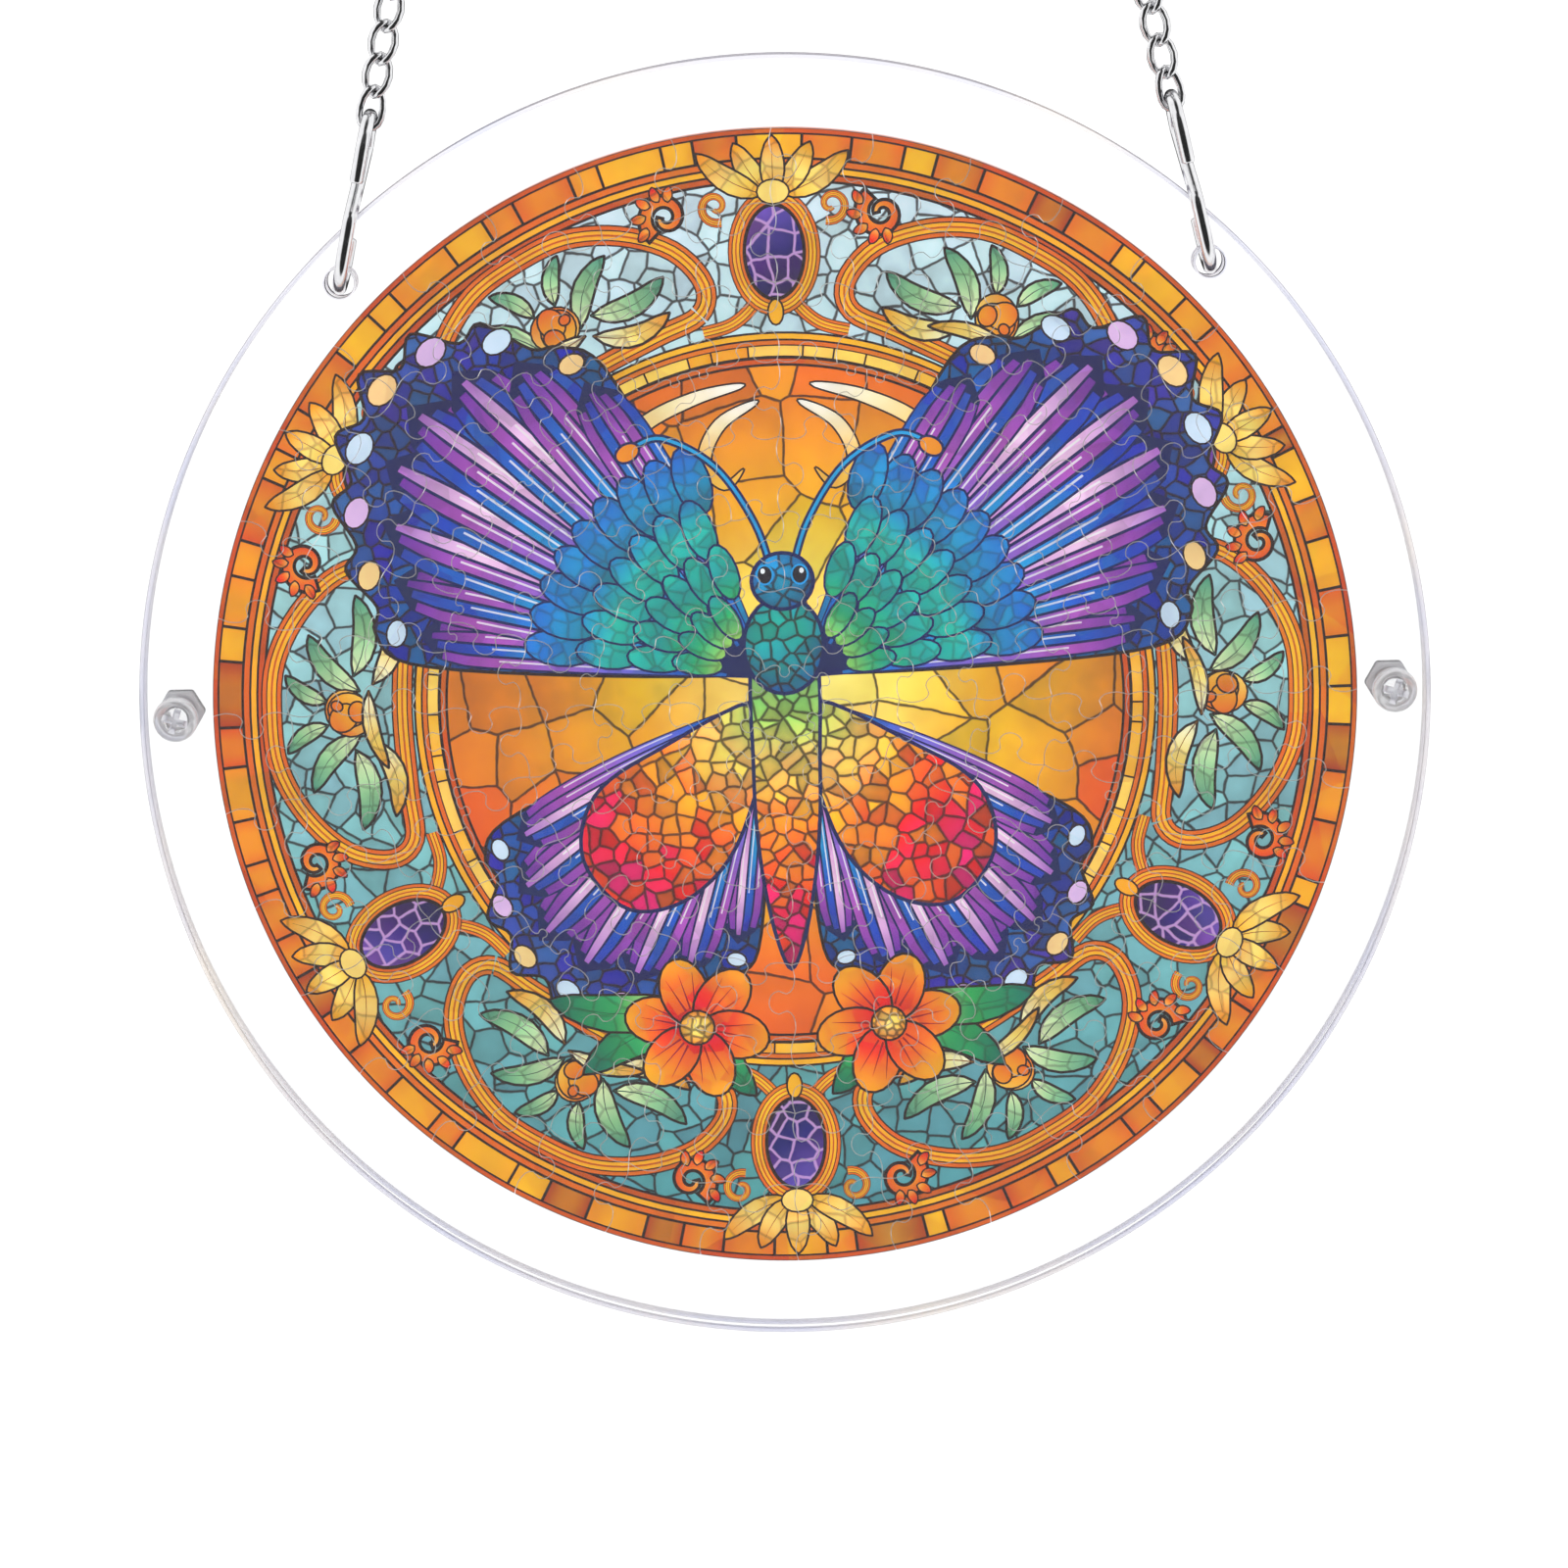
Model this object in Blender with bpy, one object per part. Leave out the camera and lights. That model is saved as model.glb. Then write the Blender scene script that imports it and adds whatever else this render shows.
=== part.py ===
"""Puzzle suncatcher: a round jigsaw picture between two clear discs, hung on a chain.

Metres, +Z up. The disc stands upright in the XZ plane with its picture facing -Y. The origin is
where the chain hangs: under the upper side of its middle link.
"""
import math

import bmesh
import bpy
from mathutils import Matrix, Vector

# Left between pieces that touch
seat_gap = 0.0003

# Clear panels
panel_diameter = 0.200
panel_thickness = 0.002
hole_edge_distance = 0.0057
hook_hole_angle = 45.0
rim_segments = 60
hole_segments = 12

# Puzzle: a core and rings of blocks, with a lobed cut line between them
puzzle_hole_clearance = 0.0033
puzzle_thickness = 0.003
core_radius = 0.01775
blocks_in_rings = (6, 12, 18)
cuts_across_ring = 2
cuts_round_boundary = (12, 24, 36)
lobe_height_share = 0.25
lobe_shoulder_share = 0.33

# Screws and nuts
screw_diameter = 0.0038
screw_hole_clearance = 0.00035
screw_head_diameter = 0.0069
screw_head_height = 0.0024
recess_length = 0.0040
recess_width = 0.0009
recess_depth = 0.0011
screw_tip_beyond_nut = 0.0008
nut_across_flats = 0.0066
nut_thickness = 0.0030

# S-hooks
hook_wire_diameter = 0.0021
hook_height = 0.0290
hook_clearance = 0.0009
hook_bend_radius = 0.0022
hook_front_tail = 0.0045
hook_back_tail = 0.0018
hook_straight = 0.0110
hook_wire_resolution = 1

# Chain
links_per_leg = 57
link_pitch = 0.00505
link_width = 0.0048
link_wire_diameter = 0.00115
link_twist = 90.0
middle_link_spread = 0.0016
link_stations = 6
end_link_stations = 10
wire_sides = 3
link_squareness = 0.7
weld_gap = 0.00005

# Worked out from the sizes above
panel_radius = panel_diameter / 2
hole_circle_radius = panel_radius - hole_edge_distance
hole_diameter = screw_diameter + 2 * screw_hole_clearance
puzzle_radius = hole_circle_radius - hole_diameter / 2 - puzzle_hole_clearance
puzzle_back_y = puzzle_thickness / 2
panel_inner_y = puzzle_back_y + seat_gap
panel_outer_y = panel_inner_y + panel_thickness

hook_wire_radius = hook_wire_diameter / 2
hook_half_width = panel_outer_y + hook_clearance + hook_wire_radius
hook_top = hook_height - hook_wire_diameter

link_wire_radius = link_wire_diameter / 2
wire_flat = link_wire_radius * math.cos(math.pi / wire_sides)
link_half_width = link_width / 2 - link_wire_radius
link_inner_length = link_pitch + weld_gap
link_half_length = link_inner_length / 2 + wire_flat


def hook_rest_height():
    """How far the hook's lowest point lies under the hole's centre.

    The hook is a half circle inside the holes, so its wire is lowest at the inner faces of the
    panels and highest at the outer ones. It sits where both are equally clear of the hole.
    """
    inner_rise = hook_half_width - math.sqrt(hook_half_width**2 - panel_inner_y**2)
    outer_depth = math.sqrt(hook_half_width**2 - panel_outer_y**2)
    outer_rise = hook_half_width - outer_depth
    lowest = inner_rise - hook_wire_radius * hook_half_width / (hook_half_width - inner_rise)
    highest = outer_rise + hook_wire_radius * hook_half_width / outer_depth
    return (lowest + highest) / 2


def link_outline(stations):
    """Points round a link's wire, across and along it, as shares of its half width and length."""
    angles = [2 * math.pi * station / stations for station in range(stations)]
    rounded = [
        [math.copysign(abs(value) ** link_squareness, value) for value in (math.cos(a), math.sin(a))]
        for a in angles
    ]
    tallest = max(along for across, along in rounded)
    return [(across, along / tallest) for across, along in rounded]


hook_drop = hook_rest_height()
middle_link_height = wire_flat - link_half_width
shoulder_across, shoulder_along = link_outline(end_link_stations)[1]
side_slope = (1 - shoulder_across) * link_half_width / (shoulder_along * link_half_length)
side_height = middle_link_height - link_half_width + side_slope * middle_link_spread
leg_top_height = side_height + link_wire_radius + seat_gap
first_link_start = hook_top - hook_drop - hook_wire_radius - seat_gap
leg_length = first_link_start + link_inner_length + (links_per_leg - 1) * link_pitch
hook_hole_across = hole_circle_radius * math.cos(math.radians(hook_hole_angle))
hook_hole_up = hole_circle_radius * math.sin(math.radians(hook_hole_angle))
leg_lean = math.asin((hook_hole_across - middle_link_spread) / leg_length)
hook_hole_height = leg_top_height - leg_length * math.cos(leg_lean)
disc_height = hook_hole_height - hook_hole_up


def make_material(name, colour, roughness, metallic=0.0, alpha=1.0):
    material = bpy.data.materials.new(name)
    material.use_nodes = True
    shader = material.node_tree.nodes["Principled BSDF"]
    shader.inputs["Base Color"].default_value = (*colour, 1.0)
    shader.inputs["Roughness"].default_value = roughness
    shader.inputs["Metallic"].default_value = metallic
    shader.inputs["Alpha"].default_value = alpha
    return material


def add_object(name, data, material):
    piece = bpy.data.objects.new(name, data)
    bpy.context.scene.collection.objects.link(piece)
    data.materials.append(material)
    return piece


def add_mesh(name, bm, material, smooth_angle=None):
    """Turn a finished bmesh into a named object."""
    bmesh.ops.recalc_face_normals(bm, faces=bm.faces)
    mesh = bpy.data.meshes.new(name)
    bm.to_mesh(mesh)
    bm.free()
    if smooth_angle is not None:
        mesh.shade_smooth()
        mesh.set_sharp_from_angle(angle=math.radians(smooth_angle))
    return add_object(name, mesh, material)


def add_cutter(name, bm):
    cutter = add_mesh(name, bm, cutter_material)
    cutter.hide_render = True
    cutter.display_type = "WIRE"
    return cutter


def cut(piece, cutter):
    modifier = piece.modifiers.new("Cut", "BOOLEAN")
    modifier.operation = "DIFFERENCE"
    modifier.solver = "EXACT"
    modifier.object = cutter


def along_y(x, y, z):
    """Place a shape made along its own +Z so that it runs along +Y."""
    return Matrix.Translation((x, y, z)) @ Matrix.Rotation(-math.pi / 2, 4, "X")


def on_hole_circle(angle):
    turn = math.radians(angle)
    across = hole_circle_radius * math.cos(turn)
    up = hole_circle_radius * math.sin(turn)
    return across, disc_height + up


def make_panels():
    """Both discs, and one set of hole cutters that goes through the two of them."""
    holes = bmesh.new()
    for angle in (0, 180, hook_hole_angle, 180 - hook_hole_angle):
        x, z = on_hole_circle(angle)
        bmesh.ops.create_cone(
            holes, cap_ends=True, segments=hole_segments, radius1=hole_diameter / 2,
            radius2=hole_diameter / 2, depth=4 * panel_outer_y, matrix=along_y(x, 0, z))
    hole_cutter = add_cutter("panel_hole_cutter", holes)
    for name, side in (("front_panel", -1), ("back_panel", 1)):
        disc = bmesh.new()
        middle_y = side * (panel_inner_y + panel_outer_y) / 2
        bmesh.ops.create_cone(
            disc, cap_ends=True, segments=rim_segments, radius1=panel_radius,
            radius2=panel_radius, depth=panel_thickness, matrix=along_y(0, middle_y, disc_height))
        panel = add_mesh(name, disc, acrylic, smooth_angle=30)
        cut(panel, hole_cutter)


def boundary_radius(boundary):
    """Radius of the cut round the core (0), then of each ring's outer edge."""
    ring_width = (puzzle_radius - core_radius) / len(blocks_in_rings)
    return core_radius + boundary * ring_width


def lobe_side(first, second):
    """Which side a cut's lobe goes to: a fixed shuffle of -1 and 1."""
    return 1 if (7 * first + 5 * second + first * second) % 4 < 2 else -1


def polar(radius, angle):
    return Vector((radius * math.cos(angle), 0, radius * math.sin(angle)))


def round_cut(boundary, index):
    """One lobed cut along a ring's boundary, without its last point."""
    radius = boundary_radius(boundary)
    step = 2 * math.pi / cuts_round_boundary[boundary]
    start = index * step
    lobe = lobe_side(index, boundary) * lobe_height_share * radius * step
    return [
        polar(radius, start),
        polar(radius + lobe, start + lobe_shoulder_share * step),
        polar(radius + lobe, start + (1 - lobe_shoulder_share) * step),
    ]


def cross_cuts(ring, index):
    """The lobed cuts across a ring at one block's edge, from its inner to its outer end."""
    inner = boundary_radius(ring)
    step = (boundary_radius(ring + 1) - inner) / cuts_across_ring
    angle = 2 * math.pi * index / blocks_in_rings[ring]
    sideways = polar(1, angle + math.pi / 2)
    points = []
    for number in range(cuts_across_ring):
        start = inner + number * step
        lobe = sideways * lobe_side(index, 2 * ring + number) * lobe_height_share * step
        points.append(polar(start, angle))
        points.append(polar(start + lobe_shoulder_share * step, angle) + lobe)
        points.append(polar(start + (1 - lobe_shoulder_share) * step, angle) + lobe)
    points.append(polar(inner + cuts_across_ring * step, angle))
    return points


def boundary_cuts(boundary, first_turn, last_turn):
    """The cuts along a boundary between two places, counted in turns from +X."""
    count = cuts_round_boundary[boundary]
    points = []
    for index in range(round(first_turn * count), round(last_turn * count)):
        points += round_cut(boundary, index % count)
    return points


def rim_points(first_turn, last_turn):
    """The puzzle's own round edge between two places."""
    steps = max(2, round((last_turn - first_turn) * rim_segments))
    turns = [first_turn + (last_turn - first_turn) * step / steps for step in range(steps)]
    return [polar(puzzle_radius, 2 * math.pi * turn) for turn in turns]


def add_block(name, outline):
    """One block of the puzzle: its outline, set back by half a cut, and given its thickness."""
    bm = bmesh.new()
    lift = Vector((0, -puzzle_back_y, disc_height))
    face = bm.faces.new([bm.verts.new(point + lift) for point in outline])
    inset = bmesh.ops.inset_region(
        bm, faces=[face], thickness=seat_gap / 2, depth=0, use_even_offset=True, use_boundary=True)
    bmesh.ops.delete(bm, geom=inset["faces"], context="FACES")
    grown = bmesh.ops.extrude_face_region(bm, geom=list(bm.faces))
    moved = [item for item in grown["geom"] if isinstance(item, bmesh.types.BMVert)]
    bmesh.ops.translate(bm, verts=moved, vec=(0, puzzle_thickness, 0))
    add_mesh(name, bm, printed_acrylic)


def ring_block_outline(ring, index):
    """Out along the block's first side, round its outer side, then back along the other two."""
    count = blocks_in_rings[ring]
    first_turn = index / count
    last_turn = (index + 1) / count
    first_side = cross_cuts(ring, index)
    last_side = cross_cuts(ring, (index + 1) % count)
    inner_side = boundary_cuts(ring, first_turn, last_turn)
    if ring == len(blocks_in_rings) - 1:
        outer_side = rim_points(first_turn, last_turn)
    else:
        outer_side = boundary_cuts(ring + 1, first_turn, last_turn)
    return first_side[:-1] + outer_side + last_side[:0:-1] + last_side[:1] + inner_side[:0:-1]


def make_puzzle():
    add_block("puzzle_centre", boundary_cuts(0, 0, 1))
    ring_names = ("inner", "middle", "outer")
    for ring, count in enumerate(blocks_in_rings):
        for index in range(count):
            name = f"puzzle_{ring_names[ring]}_{index + 1:02d}"
            add_block(name, ring_block_outline(ring, index))


def make_recess_cutter(name, x, z):
    """A cross-shaped bar that reaches into the screw's head from the front."""
    half_long = recess_length / 2
    half_wide = recess_width / 2
    corners = []
    for quarter in range(4):
        turn = Matrix.Rotation(quarter * math.pi / 2, 3, "Z")
        corners.append(turn @ Vector((half_wide, half_wide, 0)))
        corners.append(turn @ Vector((half_wide, half_long, 0)))
        corners.append(turn @ Vector((-half_wide, half_long, 0)))
    bm = bmesh.new()
    face = bm.faces.new([bm.verts.new(corner) for corner in corners])
    grown = bmesh.ops.extrude_face_region(bm, geom=[face])
    moved = [item for item in grown["geom"] if isinstance(item, bmesh.types.BMVert)]
    bmesh.ops.translate(bm, verts=moved, vec=(0, 0, 2 * recess_depth))
    floor = -panel_outer_y - seat_gap - screw_head_height + recess_depth
    place = Matrix.Translation((x, floor, z)) @ Matrix.Rotation(math.pi / 2, 4, "X")
    bmesh.ops.transform(bm, matrix=place, verts=bm.verts)
    return add_cutter(name, bm)


def make_screw(name, angle):
    """A pan-head screw: a turned profile, then a cross recess cut into its head."""
    x, z = on_hole_circle(angle)
    head_radius = screw_head_diameter / 2
    shank_end = 2 * panel_outer_y + 2 * seat_gap + nut_thickness + screw_tip_beyond_nut
    profile = [
        (0, -screw_head_height),
        (0.55 * head_radius, -0.95 * screw_head_height),
        (0.88 * head_radius, -0.70 * screw_head_height),
        (head_radius, -0.35 * screw_head_height),
        (head_radius, 0),
        (screw_diameter / 2, 0),
        (screw_diameter / 2, shank_end),
        (0, shank_end),
    ]
    bm = bmesh.new()
    verts = [bm.verts.new((radius, 0, height)) for radius, height in profile]
    edges = [bm.edges.new(pair) for pair in zip(verts, verts[1:])]
    bmesh.ops.spin(
        bm, geom=verts + edges, cent=(0, 0, 0), axis=(0, 0, 1), angle=2 * math.pi,
        steps=hole_segments, use_merge=True)
    bmesh.ops.remove_doubles(bm, verts=bm.verts, dist=0.00001)
    bmesh.ops.transform(bm, matrix=along_y(x, -panel_outer_y - seat_gap, z), verts=bm.verts)
    screw = add_mesh(name, bm, clear_nylon, smooth_angle=40)

    cut(screw, make_recess_cutter(name + "_recess_cutter", x, z))


def make_nut(name, angle):
    """A hexagon nut behind the back panel, with a clear bore round the screw."""
    x, z = on_hole_circle(angle)
    middle_y = panel_outer_y + seat_gap + nut_thickness / 2
    corner_radius = nut_across_flats / 2 / math.cos(math.pi / 6)
    bm = bmesh.new()
    bmesh.ops.create_cone(
        bm, cap_ends=True, segments=6, radius1=corner_radius, radius2=corner_radius,
        depth=nut_thickness, matrix=along_y(x, middle_y, z))
    nut = add_mesh(name, bm, clear_nylon)
    bore = bmesh.new()
    bore_radius = screw_diameter / 2 + seat_gap
    bmesh.ops.create_cone(
        bore, cap_ends=True, segments=hole_segments, radius1=bore_radius, radius2=bore_radius,
        depth=2 * nut_thickness, matrix=along_y(x, middle_y, z))
    cut(nut, add_cutter(name + "_bore_cutter", bore))


def bent_path(corners, arc_step=math.radians(30)):
    """Points along a wire bent round pins: straight runs joined by arcs.

    Each corner is (depth, height, radius). The first and last are the wire's ends.
    """
    points = [Vector(corners[0][:2])]
    for before, here, after in zip(corners, corners[1:], corners[2:]):
        corner = Vector(here[:2])
        back = (Vector(before[:2]) - corner).normalized()
        ahead = (Vector(after[:2]) - corner).normalized()
        opening = back.angle(ahead)
        tangent = here[2] / math.tan(opening / 2)
        centre = corner + (back + ahead).normalized() * here[2] / math.sin(opening / 2)
        first = corner + back * tangent - centre
        turn = math.pi - opening
        if first.cross(back) > 0:
            turn = -turn
        steps = max(1, round(abs(turn) / arc_step))
        for step in range(steps + 1):
            spoke = first.copy()
            spoke.rotate(Matrix.Rotation(turn * step / steps, 2))
            points.append(centre + spoke)
    points.append(Vector(corners[-1][:2]))
    kept = [points[0]]
    for point in points[1:]:
        if (point - kept[-1]).length > hook_wire_radius / 4:
            kept.append(point)
    return kept


def leg_frame(side):
    """Axes of one side's chain leg: across it, along +Y, and up along it from the hook hole."""
    up = Vector((-side * math.sin(leg_lean), 0, math.cos(leg_lean)))
    depth = Vector((0, 1, 0))
    across = depth.cross(up)
    frame = Matrix((across, depth, up)).transposed().to_4x4()
    hole = Vector((side * hook_hole_across, 0, hook_hole_height))
    return Matrix.Translation(hole) @ frame


def make_hook(name, side):
    """An S of round wire in the plane of its chain leg and the depth."""
    reach = hook_half_width
    upper_turn = hook_top - reach
    corners = [
        (-reach, upper_turn - hook_front_tail, 0),
        (-reach, hook_top, reach),
        (reach, hook_top, reach),
        (reach, upper_turn, hook_bend_radius),
        (-reach, hook_straight, hook_bend_radius),
        (-reach, 0, reach),
        (reach, 0, reach),
        (reach, reach + hook_back_tail, 0),
    ]
    frame = leg_frame(side)
    curve = bpy.data.curves.new(name, "CURVE")
    curve.dimensions = "3D"
    curve.bevel_depth = hook_wire_radius
    curve.bevel_resolution = hook_wire_resolution
    curve.use_fill_caps = True
    path = bent_path(corners)
    spline = curve.splines.new("POLY")
    spline.points.add(len(path) - 1)
    for spot, (depth, height) in zip(spline.points, path):
        place = frame @ Vector((0, depth, height - hook_drop))
        spot.co = (*place, 1)
    add_object(name, curve, polished_steel)


def add_link(bm, place, stations, foot_turn, head_turn):
    """One link round its own centre, along local Z, twisting from its foot's turn to its head's."""
    spots = []
    for across, along in link_outline(stations):
        turn = math.radians(foot_turn + (head_turn - foot_turn) * (along + 1) / 2)
        flat = Vector((across * link_half_width, 0, along * link_half_length))
        spots.append(Matrix.Rotation(turn, 3, "Z") @ flat)
    rings = []
    for station, spot in enumerate(spots):
        ahead = spots[(station + 1) % stations] - spot
        behind = spot - spots[station - 1]
        tangent = (ahead.normalized() + behind.normalized()).normalized()
        outward = spot - tangent * spot.dot(tangent)
        outward.normalize()
        frame = Matrix((outward, tangent.cross(outward), tangent)).transposed().to_4x4()
        circle = bmesh.ops.create_circle(
            bm, segments=wire_sides, radius=link_wire_radius,
            matrix=place @ Matrix.Translation(spot) @ frame)
        rings.append(circle["verts"])
    made = []
    for station, ring in enumerate(rings):
        following = rings[(station + 1) % stations]
        for side in range(wire_sides):
            other = (side + 1) % wire_sides
            corners = (ring[side], ring[other], following[other], following[side])
            made.append(bm.faces.new(corners))
    return made


def nearest_face(faces, point):
    return min(faces, key=lambda face: (face.calc_center_median() - point).length)


def weld(bm, head_face, foot_face):
    """Join two links where one hangs in the other, through the faces that touch."""
    edges = list(head_face.edges) + list(foot_face.edges)
    bmesh.ops.delete(bm, geom=[head_face, foot_face], context="FACES_ONLY")
    bmesh.ops.bridge_loops(bm, edges=edges)


def make_leg(name, side):
    """One side of the chain, from the hook to the middle link.

    Every link's foot is turned half a twist one way and its head half a twist the other, so that
    each hangs square in the next. The first one's foot faces the hook, and the last one's head
    faces the middle link.
    """
    frame = leg_frame(side)
    half_twist = link_twist / 2
    bm = bmesh.new()
    links = []
    for index in range(links_per_leg):
        height = first_link_start + link_inner_length / 2 + index * link_pitch
        place = frame @ Matrix.Translation((0, 0, height))
        if index == 0:
            faces = add_link(bm, place, end_link_stations, 0, half_twist)
        elif index == links_per_leg - 1:
            faces = add_link(bm, place, end_link_stations, -half_twist, -90)
        else:
            faces = add_link(bm, place, link_stations, -half_twist, half_twist)
        links.append((place, faces))
    half = link_inner_length / 2
    pairs = []
    for (place, faces), (next_place, next_faces) in zip(links, links[1:]):
        head = nearest_face(faces, place @ Vector((0, 0, half)))
        foot = nearest_face(next_faces, next_place @ Vector((0, 0, -half)))
        pairs.append((head, foot))
    for head, foot in pairs:
        weld(bm, head, foot)
    add_mesh(name, bm, polished_steel, smooth_angle=60)


def make_middle_link():
    """The link that the chain hangs from, lying along X in the plane of the disc."""
    bm = bmesh.new()
    place = Matrix.Translation((0, 0, middle_link_height)) @ Matrix.Rotation(math.pi / 2, 4, "Y")
    add_link(bm, place, end_link_stations, 0, 0)
    add_mesh("chain_middle_link", bm, polished_steel, smooth_angle=60)


for leftover in list(bpy.data.objects):
    bpy.data.objects.remove(leftover)

acrylic = make_material("acrylic", (0.93, 0.95, 0.97), 0.05, alpha=0.2)
printed_acrylic = make_material("printed_acrylic", (0.80, 0.45, 0.15), 0.25)
clear_nylon = make_material("clear_nylon", (0.90, 0.92, 0.94), 0.25, alpha=0.5)
polished_steel = make_material("polished_steel", (0.75, 0.75, 0.76), 0.15, metallic=1.0)
cutter_material = make_material("cutter", (0.5, 0.5, 0.5), 0.5)

make_panels()
make_puzzle()
for name_end, screw_angle in (("right", 0), ("left", 180)):
    make_screw(f"screw_{name_end}", screw_angle)
    make_nut(f"nut_{name_end}", screw_angle)
for name_end, leg_side in (("right", 1), ("left", -1)):
    make_hook(f"s_hook_{name_end}", leg_side)
    make_leg(f"chain_{name_end}", leg_side)
make_middle_link()
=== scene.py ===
import math
import random

import bmesh
import bpy
from mathutils import Matrix, Vector
from mathutils.geometry import delaunay_2d_cdt


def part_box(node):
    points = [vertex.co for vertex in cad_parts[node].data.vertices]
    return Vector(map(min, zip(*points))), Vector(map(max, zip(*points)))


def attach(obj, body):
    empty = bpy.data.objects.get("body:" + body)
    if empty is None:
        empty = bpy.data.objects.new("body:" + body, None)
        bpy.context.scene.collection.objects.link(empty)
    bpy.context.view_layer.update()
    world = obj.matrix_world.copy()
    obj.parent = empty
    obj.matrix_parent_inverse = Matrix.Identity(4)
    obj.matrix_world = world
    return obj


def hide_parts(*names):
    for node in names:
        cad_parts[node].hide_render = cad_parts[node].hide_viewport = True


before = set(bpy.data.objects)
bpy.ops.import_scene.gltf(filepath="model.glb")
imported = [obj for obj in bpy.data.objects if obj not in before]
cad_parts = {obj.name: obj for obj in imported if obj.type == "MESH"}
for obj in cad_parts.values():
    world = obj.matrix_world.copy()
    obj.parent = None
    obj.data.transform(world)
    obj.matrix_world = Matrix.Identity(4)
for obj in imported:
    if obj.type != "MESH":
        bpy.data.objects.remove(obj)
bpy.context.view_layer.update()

# The camera stands in front of the picture and a little above it, as in the photograph, which is
# turned by about a degree. The disc's middle sits above the middle of the view.
panel_low, panel_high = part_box("front_panel")
disc_radius = (panel_high[0] - panel_low[0]) / 2
disc_height = (panel_low[2] + panel_high[2]) / 2
camera_distance = 0.92
camera_elevation = math.radians(9)
camera_roll = math.radians(-1.4)
view_width = 0.2432
view_below_disc = 0.0125
view_sideways = -0.0005
sensor_width = 36.0
aim = Vector((view_sideways, panel_low[1], disc_height - view_below_disc))
towards_camera = Vector((0, -math.cos(camera_elevation), math.sin(camera_elevation)))
lens = bpy.data.cameras.new("camera")
lens.sensor_width = sensor_width
lens.lens = sensor_width * camera_distance / view_width
camera = bpy.data.objects.new("camera", lens)
camera.location = aim + towards_camera * camera_distance
looking = (-towards_camera).to_track_quat("-Z", "Y").to_matrix()
camera.rotation_euler = (looking @ Matrix.Rotation(camera_roll, 3, "Z")).to_euler()
bpy.context.scene.collection.objects.link(camera)
bpy.context.scene.camera = camera
bpy.context.scene.view_settings.view_transform = "Standard"

# The printed picture: a stained-glass design in inks. It is drawn flat, in millimetres from the
# disc's middle with x to the right and y up, as shapes laid over each other from the bottom up. Each
# has a paint, which gives its colour at any spot, and leaded cells, given by how many there are to a
# metre, how strong their seams are (pale ones below 0) and how much the panes vary.
picture = []
picture_radius = 88.75
no_cells = (100.0, 0.0, 0.25)


def ink(red, green, blue):
    """A printed colour, from 0 to 255, as linear light."""
    return tuple((value / 255) ** 2.2 for value in (red, green, blue))


lead = ink(34, 12, 8)
corner_limit = 1.6
nearly_folded = 0.5


def blended(stops, place):
    """The colour at a place from 0 to 1 along evenly spaced colours."""
    place = min(max(place, 0.0), 1.0) * (len(stops) - 1)
    first = min(int(place), len(stops) - 2)
    share = place - first
    return tuple(a + (b - a) * share for a, b in zip(stops[first], stops[first + 1]))


def even(colour):
    return lambda spot: colour


def shaded(stops, start, end):
    """A paint that changes from one point to another."""
    start = Vector(start)
    way = Vector(end) - start
    return lambda spot: blended(stops, (spot - start).dot(way) / way.length_squared)


def glowing(stops, centre, radius):
    """A paint that changes outwards from a centre."""
    centre = Vector(centre)
    return lambda spot: blended(stops, (spot - centre).length / radius)


def twice_area(outline):
    """Twice the area inside an outline, negative where it runs clockwise."""
    return sum(a.cross(b) for a, b in zip(outline, outline[1:] + outline[:1]))


def lay(outline, paint, cells=no_cells, both=False):
    """Add a shape to the picture, and its mirror image on the other side if asked.

    Outlines run anticlockwise, and start a quarter of the way along, away from any thin tip.
    """
    if twice_area(outline) < 0:
        outline = outline[::-1]
    quarter = len(outline) // 4
    picture.append((outline[quarter:] + outline[:quarter], paint, cells))
    if both:
        flipped = [Vector((-spot.x, spot.y)) for spot in reversed(outline)]
        lay(flipped, lambda spot: paint(Vector((-spot.x, spot.y))), cells)


def set_back(outline, distance):
    """The outline moved inwards by a distance, or outwards by a negative one."""
    count = len(outline)
    inward = math.copysign(distance, twice_area(outline) * distance)
    moved = []
    for index, spot in enumerate(outline):
        ahead = (outline[(index + 1) % count] - spot).normalized()
        behind = (spot - outline[index - 1]).normalized()
        middle = Vector((-ahead.y - behind.y, ahead.x + behind.x))
        reach = min(2 / max(middle.length_squared, nearly_folded), corner_limit)
        moved.append(spot + middle * inward * reach)
    return moved


def leaded(outline, paint, cells=no_cells, line=0.54, both=False, edge=lead):
    """A shape with a dark line round it."""
    lay(set_back(outline, -line / 2), even(edge), no_cells, both)
    lay(set_back(outline, line / 2), paint, cells, both)


def polar(radius, degrees):
    angle = math.radians(degrees)
    return Vector((radius * math.cos(angle), radius * math.sin(angle)))


def circle(radius, centre=(0, 0), steps=144):
    return [Vector(centre) + polar(radius, 360 * step / steps) for step in range(steps)]


def ellipse(centre, across, up, turn=0, steps=28):
    axis = polar(1, turn)
    side = polar(1, turn + 90)
    spokes = [polar(1, 360 * step / steps) for step in range(steps)]
    return [Vector(centre) + axis * spoke.x * across + side * spoke.y * up for spoke in spokes]


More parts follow.
